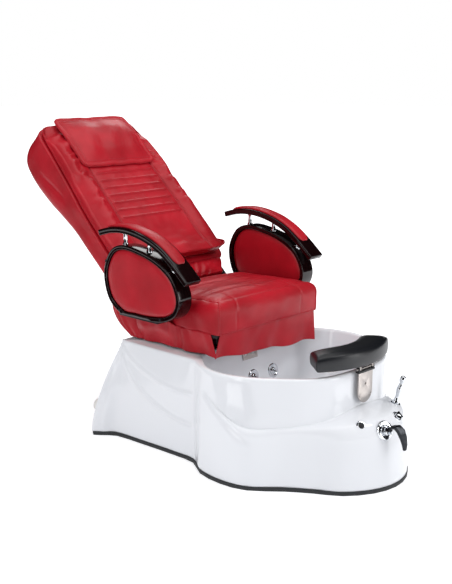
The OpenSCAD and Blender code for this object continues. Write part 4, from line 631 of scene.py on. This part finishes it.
seat_welts = [np.concatenate([top[::-1, column], [row[corner_at] for row in rows]])
              for column, corner_at in ((0, 0), (-1, top.shape[1] - 1))]
covered("seat_cushion", *cushion_skin(top, rows, foot), 0.85, "carriage")


# ---- Seat skirts ----
# Single red leather sheets, gathered into the cushion's foot band, that hide the slide and the
# recline drive. They hang in soft folds that grow towards the hem.
def hung(node, grid):
    """A hanging sheet from a grid of points on its outside, given its thickness inwards."""
    number = np.arange(grid[..., 0].size).reshape(grid.shape[:2])
    sheet = skin(node + "_sheet", grid, grid_faces(number, turned=True), red_leather)
    leather = sheet.modifiers.new("thickness", "SOLIDIFY")
    leather.thickness = 2 * 0.001
    leather.offset = -1
    stand_in(sheet, node, "carriage")


skirt_top, rim, skirt_half = 439.4, 355, 252


def gathers(t, v, pleats, seed):
    """Short pleats under the seam, and long folds that deepen to the hem."""
    chance = np.random.default_rng(seed)
    shift = chance.uniform(0, 2 * math.pi, 4)
    tight = np.sin(2 * math.pi * pleats * (t + 0.012 * np.sin(2 * math.pi * 3 * t + shift[0])) + shift[1])
    patch = 0.35 + 0.65 * np.clip(np.sin(2 * math.pi * 1.3 * t + shift[2]) + 0.3, 0, 1)
    long = np.sin(2 * math.pi * 3.7 * (t + 0.03 * np.sin(2 * math.pi * 2 * t + shift[3])))
    return 2.4 * tight * patch * np.exp(-v / 0.45) * ease(v / 0.08 + 0.3) + 5 * v * long


u, v = unit_grid(220, 26)
front_at = -70
hem = rim + mix(5, -27, u) + 4 * np.sin(15.7 * u)
# its near end is cut back at the seam, so that a dark wedge opens beside the corner
front = xyz(mix(-skirt_half - 3 + 18 * (1 - v), skirt_half + 3 - 10 * (1 - v), u),
            front_at + gathers(u, v, 6, 11) + 5 * v, mix(skirt_top, hem, v))
hung("skirt_front", front)

# the side skirts' tops rise over the brackets' uprights, right up to the rings
side_at, side_rear, over_out, over_up = 255.4, 300, 18.6, 17
for side, name, seed in ((-1, "skirt_right", 21), (1, "skirt_left", 22)):
    u, v = unit_grid(170, 26)
    along_seat = mix(mix(-44, -66, v), side_rear, u)
    over = ease((along_seat - 118) / 22) * ease((318 - along_seat) / 16)
    hem = rim + 8 + 2 * np.sin(12.2 * u)
    out = side_at + np.minimum(gathers(u, v, 7, seed) * 0.8 - 1.6, 1) - 5 * v
    out += over_out * over * (1 - 0.8 * ease((v - 0.36) / 0.6))
    hang = xyz(side * out, along_seat, mix(skirt_top + over_up * over, hem, v))
    if side > 0:
        hang = hang[:, ::-1]
    hung(name, hang)

# Round the back: from behind one arm, round under the back's foot, to the other. Each way is
# across, from side to side, and deep, from the arms to the rear.
one_side = [[-1, 0], [-1, 0.45], [-1, 0.86], [-0.94, 1], [-0.62, 1.02], [-0.3, 1.03]]
rear_ways = curve_through(one_side + [[0, 1.03]] + [[-x, y] for x, y in one_side[::-1]], 16)
rear_side = curve_through([[462, 478], [450, 434], [418, 398], [354, 363]], 9)
across = rear_ways[:, 0][None, :]
deep = np.clip(rear_ways[:, 1], 0, 1.03)[None, :]
t = np.linspace(0, 1, len(rear_ways))[None, :]
v = np.linspace(0, 1, len(rear_side))[:, None]
fold = 1.2 + 1.2 * np.sin(t * 150 + 2 * np.sin(t * 40)) * v
drawn = ease((0.78 - np.abs(across)) / 0.12) * ease(v)
under_side, past_side, rear_start, rear_top, rear_hem = 251, 259.6, 288, 462, 363
wrap = xyz(across * (mix(under_side, past_side, ease(deep / 0.25)) - fold),
           mix(rear_start, rear_side[:, :1] - fold, deep) + 42 * drawn,
           mix(mix(rear_top, rear_hem, v), rear_side[:, 1:], np.minimum(deep, 1)) + 18 * drawn)
hung("skirt_rear", wrap[:, ::-1])


# ---- Back's upholstered shell ----
# A moulded shell round the massage drive, covered in red leather over thin foam. The cover is
# pulled over the double curve and stitched in a dart on each side.
tilt, pivot_back, pivot_height = math.radians(46), 340, 470


def in_back(points):
    """Points drawn in the back's own frame, with Z up along it, at its angle in the chair."""
    p = np.asarray(points, float)
    return xyz(p[..., 0], pivot_back + p[..., 1] * math.cos(tilt) + p[..., 2] * math.sin(tilt),
               pivot_height - p[..., 1] * math.sin(tilt) + p[..., 2] * math.cos(tilt))


back_half, head_half, back_length, back_foot = 268, 247, 815, 104
lie = -38       # plane that the cushions lie on


def half_at(z):
    """Half the back's width at a height along it."""
    return mix(back_half, head_half, ease((z - 300) / 430))


depth_guide = curve_through([[80, 34], [220, 38], [360, 48], [460, 70], [550, 98], [640, 116],
                             [715, 119], [765, 110], [797, 92], [815, 72]], 12)
shell_outline = whole(half_curve([
    [0, back_foot], [back_half - 60, back_foot], [back_half - 12, back_foot + 14],
    [back_half, back_foot + 60], [back_half, 260], [half_at(430), 430], [half_at(600), 600],
    [half_at(720), 720], [head_half - 4, back_length - 40], [head_half - 34, back_length - 6],
    [head_half - 100, back_length], [0, back_length]], 9))
shell_middle = np.array([0, 440])
shell_out = outward(shell_outline)


def shell_row(share, deep, inset=0.0):
    """A row of the shell: its share of the outline, and how deep it lies between front and rear."""
    point = mix(shell_middle, shell_outline, share)
    rear = np.interp(point[:, 1], depth_guide[:, 0], depth_guide[:, 1]) - inset
    return xyz(point[:, 0], mix(lie + 0.6, rear, deep), point[:, 1])


outside = curve_through([[0.02, 1], [0.3, 1], [0.62, 1], [0.84, 1], [0.93, 0.99], [0.975, 0.94],
                         [0.998, 0.83], [1.004, 0.6], [1, 0.35], [1, 0.12], [1, 0.02]], 5)
inside = ((0.985, 0.0), (0.94, 0.0), (0.88, 0.0), (0.878, 0.08), (0.93, 0.09), (0.955, 0.3), (0.95, 0.7),
          (0.92, 0.88), (0.85, 0.93), (0.6, 0.93), (0.3, 0.93), (0.02, 0.93))
shell_rows = []
for share, deep in outside:
    row = shell_row(share, deep)
    # dart: a crease that runs down each side from the head's bulge to where the back is thinnest
    down = np.clip((row[:, 2] - 500) / 180, 0, 1)
    dart = np.exp(-((row[:, 1] - mix(10, 62, down)) / 7) ** 2) * np.sin(math.pi * down) ** 0.6
    dart *= (np.abs(row[:, 0]) > 0.85 * half_at(row[:, 2]))
    slack = wander(row * [1, 1, 0.6], 95, 17) * 1.2 - 5 * dart
    row[:, 0] += shell_out[:, 0] * (slack - 1.4)
    row[:, 2] += shell_out[:, 1] * (slack - 1.4)
    shell_rows.append(in_back(row))
shell_rows += [in_back(shell_row(share, deep, 2)) for share, deep in inside]
points, faces = tube_skin(shell_rows)
cover = skin("back_shell_cover", points, faces, red_leather)
stand_in(cover, "back_shell", "back")


# ---- Back overlay cushion ----
# A padded leather flap that hangs from the head: a middle panel quilted in seven sewn channels,
# between two wings whose leather is gathered into the panel's seams.
def back_pad(node, top, waist, foot, steps, fill):
    """A cushion of the back, from its crowned top, its widest line and its foot, in the back's frame."""
    rows = rolled(edge_of(top), waist, edge_of(foot), (0, -1, 0), steps)
    points, faces = cushion_skin(top, rows, foot)
    covered(node, in_back(points), faces, fill, "back")


def round_corners(part, half, middle, reach, pull_in, pull_up):
    """Draws in the corners of a flap that is so wide and so high about its middle."""
    far = np.clip(np.abs(part[..., 0] / half) * np.abs(part[..., 2] - middle) / reach, 0, 1.05) ** 10
    part[..., 0] *= 1 - pull_in * far
    part[..., 2] = middle + (part[..., 2] - middle) * (1 - pull_up * far)


channel_start, channel_pitch, channel_count = 322, 36, 7
cushion_low, cushion_high, cushion_thick, panel_seam = 120, 809, 46, 0.645
tuck_high, wing_high, pucker_deep, pillow_low = 4.4, 17, 8.5, 566


def flow(low, high, marks, spread, count):
    """Values from low to high that crowd together at the marks."""
    fine = np.linspace(low, high, 4000)
    density = 1 + sum(3.5 * np.exp(-((fine - m) / spread) ** 2) for m in marks)
    total = np.concatenate([[0], np.cumsum((density[1:] + density[:-1]) / 2)])
    return np.interp(np.linspace(0, total[-1], count), total, fine)


channels = [channel_start + channel_pitch * k for k in range(channel_count)]
s_line = flow(-1, 1, [-panel_seam, panel_seam], 0.03, 180)
z_line = flow(cushion_low, cushion_high, [c + 2 for c in channels], 6, 240)
s, z = np.meshgrid(s_line, z_line)
beside = ease((z - pillow_low + 70) / 60)
wing_fade = ease((z - cushion_low) / 140) * ease((780 - z) / 160)
wing = np.exp(-((np.abs(s) - mix(0.84, 0.94, beside)) / mix(0.13, 0.09, beside)) ** 2) * wing_fade
lift = 20 * np.exp(-((z - cushion_low) / 60) ** 2) * (1 - 0.3 * s * s)
quilted = ease((panel_seam - 0.03 - np.abs(s)) / 0.05)
# each channel ends in a tuck, whose upper side catches the light
tuck_bend = 2 * wander(xyz(s * 170, 0, 0), 150, 30)
above = [z + tuck_bend - c for c in channels]
tucks = sum(np.where(a > 0, np.exp(-np.maximum(a, 0) / 7), 1 - ease(-a / 6)) for a in above)
# the wings' leather is gathered into the panel's seams, in folds that slope outwards
tilted = z + 90 * (np.abs(s) - 0.7)
pull_at = wander(xyz(s * 60, 0, z), 85, 31)
pucker = (0.5 + 0.5 * np.sin(2 * math.pi * (tilted / 58 + 0.4 * pull_at))) ** 1.5
pucker *= ease((np.abs(s) - 0.66) / 0.16) * ease((1 - np.abs(s)) / 0.24)
pucker *= ease((z - 260) / 140) * ease((805 - z) / 60)
share_up = (z - cushion_low) / (cushion_high - cushion_low)
top = xyz(s * (half_at(z) - 20),
          lie - cushion_thick - lift + 18 * np.abs(s) ** 9 - wing_high * wing - tuck_high * quilted * tucks
          + seam(np.abs(s) - panel_seam, 0.012, 4) - pucker_deep * pucker
          + (12 + 20 * s * s) * ease((z - 690) / 125),
          mix(cushion_low + 4, back_length - 12, share_up))
slack = wander(top, 130, 33) * 1.5 * (1 - 0.6 * quilted) + wander(top * [1.4, 1, 0.7], 60, 34) * 0.35
slack += 1.3 * wander(top * [0.6, 1, 2.0], 80, 35) * ease((300 - z) / 120)
top[..., 1] += slack
# at its foot the flap thins to a hem that stands off the lumbar cushion
waist = edge_of(xyz(s * (half_at(z) - 12), mix(lie - 12, lie - 62, ease((200 - z) / 75)), z))
waist[:, 1] += wander(waist, 60, 36) * 1.5
foot = xyz(s * (half_at(z) - 21), lie + 0.1, mix(cushion_low + 34, back_length - 10, share_up))
for part in (top, waist, foot):
    round_corners(part, half_at(part[..., 2]) - 14, 464, 347, 0.07, 0.045)
overlay_top, overlay_edge = top, waist
back_pad("back_cushion", top, waist, foot, 7, 0.6)


# ---- Welts and stitches ----
# Leather cords sewn into the seams of the cushions, and the polyester thread that holds the
# hems, in stitches just under 5 mm long.
def path_tree(name, inputs):
    """A tree that takes edges and sizes, with its input, its lines and its output."""
    tree = bpy.data.node_groups.new(name, "GeometryNodeTree")
    for way in ("INPUT", "OUTPUT"):
        tree.interface.new_socket("Geometry", in_out=way, socket_type="NodeSocketGeometry")
    for label in inputs:
        tree.interface.new_socket(label, in_out="INPUT", socket_type="NodeSocketFloat")
    given, leaves = add(tree, "NodeGroupInput"), add(tree, "NodeGroupOutput")
    line = add(tree, "GeometryNodeMeshToCurve", {"Mesh": given.outputs["Geometry"]})
    return tree, given, line, leaves


def finished(tree, last, finish, leaves):
    """Ends a tree in real faces of one finish."""
    real = add(tree, "GeometryNodeRealizeInstances", {"Geometry": last})
    smooth = add(tree, "GeometryNodeSetShadeSmooth", {"Geometry": real.outputs[0]})
    coloured = add(tree, "GeometryNodeSetMaterial", {"Geometry": smooth.outputs[0], "Material": finish})
    tree.links.new(coloured.outputs[0], leaves.inputs["Geometry"])


welt_tree, given, line, leaves = path_tree("welt", ["Radius"])
disc = add(welt_tree, "GeometryNodeCurvePrimitiveCircle", {
    "Resolution": 8, "Radius": given.outputs["Radius"]})
cord = add(welt_tree, "GeometryNodeCurveToMesh", {
    "Curve": line.outputs[0], "Profile Curve": disc.outputs[0], "Fill Caps": True})
finished(welt_tree, cord.outputs[0], red_leather, leaves)

thread, tree, shader = finish_of("bonded polyester thread, red", "#B4303A", 0.55)
twist = add(tree, "ShaderNodeTexWave", {"Vector": place_of(tree), "Scale": 1 / 0.0009})
raise_surface(tree, shader, twist.outputs["Fac"], 0.0001)
stitch_tree, given, line, leaves = path_tree("stitches", ["Pitch", "Length", "Radius"])
points = add(stitch_tree, "GeometryNodeResampleCurve", {
    "Curve": line.outputs[0], "Length": given.outputs["Pitch"]}, mode="LENGTH")
one = add(stitch_tree, "GeometryNodeMeshCylinder", {
    "Vertices": 6, "Radius": given.outputs["Radius"], "Depth": given.outputs["Length"]}, fill_type="NGON")
ahead = add(stitch_tree, "GeometryNodeInputTangent")
turned = add(stitch_tree, "FunctionNodeAlignRotationToVector", {"Vector": ahead.outputs[0]}, axis="Z")
sown = add(stitch_tree, "GeometryNodeInstanceOnPoints", {
    "Points": points.outputs[0], "Instance": one.outputs[0], "Rotation": turned.outputs[0]})
finished(stitch_tree, sown.outputs[0], thread, leaves)


def along_paths(name, tree, sizes, paths, body, closed=False):
    """A mesh that a tree makes along paths in millimetres, for one body."""
    points, edges = [], []
    for path in paths:
        start, n = len(points), len(path)
        points += (path * 0.001).tolist()
        edges += [(start + k, start + (k + 1) % n) for k in range(n if closed else n - 1)]
    mesh = bpy.data.meshes.new(name)
    mesh.from_pydata(points, edges, [])
    made = placed(name, mesh)
    maker = made.modifiers.new(tree.name, "NODES")
    maker.node_group = tree
    sockets = {item.name: item.identifier for item in tree.interface.items_tree}
    for label, size in sizes.items():
        maker[sockets[label]] = size * 0.001
    solid = bpy.data.meshes.new_from_object(made.evaluated_get(bpy.context.evaluated_depsgraph_get()))
    made.modifiers.remove(maker)
    made.data = solid
    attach(made, body)


def lifted(grid, by):
    """A line of points of a back cushion, raised off it towards the sitter."""
    return in_back(grid + [0, -by, 0])


along_paths("seat_cushion_welts", welt_tree, {"Radius": 2.4}, seat_welts, "carriage")
along_paths("seat_hem_welt", welt_tree, {"Radius": 1.9}, [seat_hem], "carriage", closed=True)
along_paths("back_cushion_welt", welt_tree, {"Radius": 2.3}, [in_back(overlay_edge)], "back", closed=True)
stitched_rows = slice(np.searchsorted(z_line, 150), np.searchsorted(z_line, 800))
from_seam = 0.022
seam_lines = [lifted(overlay_top[stitched_rows, np.abs(s_line - side * (panel_seam + beside)).argmin()], 0.5)
              for side in (-1, 1) for beside in (-from_seam, from_seam)]
stitch = {"Pitch": 6.5, "Length": 4.6, "Radius": 0.45}
along_paths("back_cushion_stitches", stitch_tree, stitch, seam_lines, "back")


# ---- Lumbar cushion ----
# The soft roll below the overlay, in the same leather, gathered at its middle seam.
lumbar_top, lumbar_wide, lumbar_base, lumbar_at = 214, 221, 216, -24
lumbar_low, lumbar_high = 35, back_foot - 3
u, v = unit_grid(120, 22)
s = 2 * u - 1
crease = seam(s, 0.03, 7)
rumple = (wander(xyz(s * 220, v * 30, v * 70), 46, 41) * 2.4 * (1 - s ** 6)
          + 2.5 * np.maximum(0, np.sin(9 * v + 14 * np.abs(s))) ** 2 * np.exp(-np.abs(s) * 4))
crown = 32 + 12 * (1 - s ** 4) * (1 - (2 * v - 1) ** 4)
narrow = mix(0.87, 1, ease(v / 0.9))     # it tapers to the seat
top = xyz(s * lumbar_top * narrow, lumbar_at - crown + crease + rumple,
          mix(lumbar_low + 5, lumbar_high - 5, v))
waist = edge_of(xyz(s * lumbar_wide * narrow, lumbar_at - 16, mix(lumbar_low, lumbar_high, v)))
foot = xyz(s * lumbar_base * narrow, lumbar_at - 0.2, mix(lumbar_low + 3, lumbar_high - 3, v))
back_pad("lumbar_cushion", top, waist, foot, 6, 0.5)


# ---- Head pillow ----
# A flat padded flap over the top of the overlay, with a turned hem all round.
front = lie - cushion_thick
pillow_half, pillow_middle, pillow_reach = 175, 694, 127


def over_head(z):
    """How far the flap's upper end falls back over the head."""
    return ease((z - 700) / 120)


u, v = unit_grid(120, 96)
s, t = 2 * u - 1, 2 * v - 1
z = mix(pillow_low + 5, back_length + 2, v)
# from the middle out to the hem, which turns round each corner, the padding thins to nothing
hem = ((np.abs(s) * 170) ** 7 + (np.abs(t) * 127 + 43) ** 7) ** (1 / 7)
pad = ease((166 - hem) / 70)
dents = wander(xyz(s * 170, 0, z), 105, 51) * 1.8
fold = np.exp(-(((s - 0.1) * 170 - 0.55 * (z - 700)) / 34) ** 2) * np.exp(-((z - 705) / 70) ** 2)
stitched = seam(np.maximum(np.abs(s) * 171, np.abs(t) * 124 + 47) - 160, 1.8, 1.4)
top = xyz(s * (pillow_half - 4),
          front - 12 - (13 - dents) * pad + stitched - 3.5 * fold + 13 * over_head(z), z)
z = mix(pillow_low, back_length + 7, v)
waist = edge_of(xyz(s * pillow_half, front - 6 + 13 * over_head(z), z))
z = mix(pillow_low + 3, back_length + 4, v)
foot = xyz(s * (pillow_half - 4), front - 0.4 + 6 * over_head(z), z)
for part in (top, waist, foot):
    round_corners(part, pillow_half, pillow_middle, pillow_reach, 0.06, 0.06)
    part[..., 2] += 1.6 * wander(part * [1, 0, 0.3], 120, 53)
    part[..., 0] += 1.4 * wander(part * [0.3, 0, 1], 140, 54)
back_pad("head_pillow", top, waist, foot, 5, 0.5)
along_paths("head_pillow_welt", welt_tree, {"Radius": 2.0}, [in_back(waist)], "back", closed=True)
along_paths("head_pillow_stitches", stitch_tree, stitch, [lifted(edge_of(top[7:-7, 6:-6]), 0.5)], "back",
            closed=True)


# ---- Arm panels ----
# Red leather over a foam-faced board, pressed into each bentwood ring. Both faces are crowned
# and meet the ring in a soft rounded edge.
edge = ring - (ring_thick + 0.5) * ring_out
heart = edge.mean(0)
crown = [(0.02, 344.5), (0.3, 344.3), (0.55, 343.8), (0.72, 343.0), (0.84, 341.8), (0.92, 340.2),
         (0.965, 338.2), (0.99, 335.4), (1, 331), (1, 298), (0.99, 293.5), (0.955, 290.2), (0.9, 288.2),
         (0.78, 286.8), (0.55, 286.0), (0.3, 285.6), (0.02, 285.5)]
for side, name, seed in ((-1, "arm_panel_right", 61), (1, "arm_panel_left", 62)):
    rows = []
    for share, out in crown:
        point = mix(heart, edge, share)
        level = xyz(side * out, *point.T)
        level[:, 0] += wander(level, 150, seed) * 0.9 * min(1, 6 * (1 - share))
        rows.append(level)
    covered(name, *tube_skin(rows), 0.9, "carriage")


# ---- Arm pads ----
# Slim leather-covered pads let into the top of each bentwood bar.
pad_half = 24
pad_line, pad_up = bar_line[6:-12], up[6:-12]
one_side = [(-1, 0.1), (-1, 2.2), (-0.97, 4.2), (-0.88, 6), (-0.7, 7.2), (-0.35, 7.9)]
section = one_side + [(0, 8.1)] + [(-x, h) for x, h in one_side[::-1]]
for side, name in ((-1, "arm_pad_right"), (1, "arm_pad_left")):
    rows = []
    for k in range(len(pad_line)):
        ends = min(k, len(pad_line) - 1 - k)
        low = min(1, 0.25 + 0.3 * ends)
        wide = pad_half * (1 - 0.5 * math.exp(-ends * 0.9))
        rows.append(across_strip(side, pad_line[k], -pad_up[k],
                                 [(wide * x, h * (low if h > 1 else 1)) for x, h in section]))
    covered(name, *tube_skin(rows), 0.95, "carriage")


# ---- Footrest pad ----
# Self-skinned black polyurethane foam, moulded in one piece round a plate: a smooth, slightly
# sheeny skin with fine pores, bowed to take both heels.
polyurethane, tree, shader = finish_of("self-skinned polyurethane foam, black", "#14161B", 0.36, 1.5)
pores = add(tree, "ShaderNodeTexVoronoi", {"Vector": place_of(tree), "Scale": 1 / 0.0016},
            feature="SMOOTH_F1")
pored = raise_surface(tree, shader, pores.outputs["Distance"], 0.00012, 0.5)
flow_lines = add(tree, "ShaderNodeTexNoise", {"Vector": place_of(tree), "Scale": 1 / 0.05, "Detail": 2.0})
raise_surface(tree, shader, flow_lines.outputs["Fac"], 0.0006, 0.5, pored)
pad_length, pad_wide, pad_bow, pad_high, pad_thick, pad_front = 318, 98, 56, 434, 58, -447
pad_radius = (pad_length ** 2 / 4 + pad_bow ** 2) / (2 * pad_bow)
pad_angle = math.asin(pad_length / 2 / pad_radius)
u, v = unit_grid(96, 40)


def on_pad(u, v, inset=0.0):
    """A point of the pad's plan, from its left end to its right and from front to back."""
    a = mix(-pad_angle, pad_angle, u)
    r = pad_radius + mix(-1, 1, v) * (pad_wide / 2 - inset)
    return r * np.sin(a), pad_front + pad_radius - r * np.cos(a)


x, y = on_pad(mix(0.035, 0.965, u), 1 - v, 10)
fall = np.abs(2 * u - 1) ** 6 * 9 + np.abs(2 * v - 1) ** 4 * 6
top = xyz(x, y, pad_high - fall)
waist = edge_of(xyz(*on_pad(u, 1 - v), pad_high - 0.55 * pad_thick))
foot = xyz(*on_pad(mix(0.015, 0.985, u), 1 - v, 4), pad_high - pad_thick + 0.2)
rows = rolled(edge_of(top), waist, edge_of(foot), (0, 0, 1), 8)
footpad = skin("footrest_pad_skin", *outside_out(*cushion_skin(top, rows, foot)), polyurethane)
rounded = footpad.modifiers.new("soft corners", "SMOOTH")
rounded.factor, rounded.iterations = 0.5, 14
stand_in(footpad, "footrest_pad", "footrest")
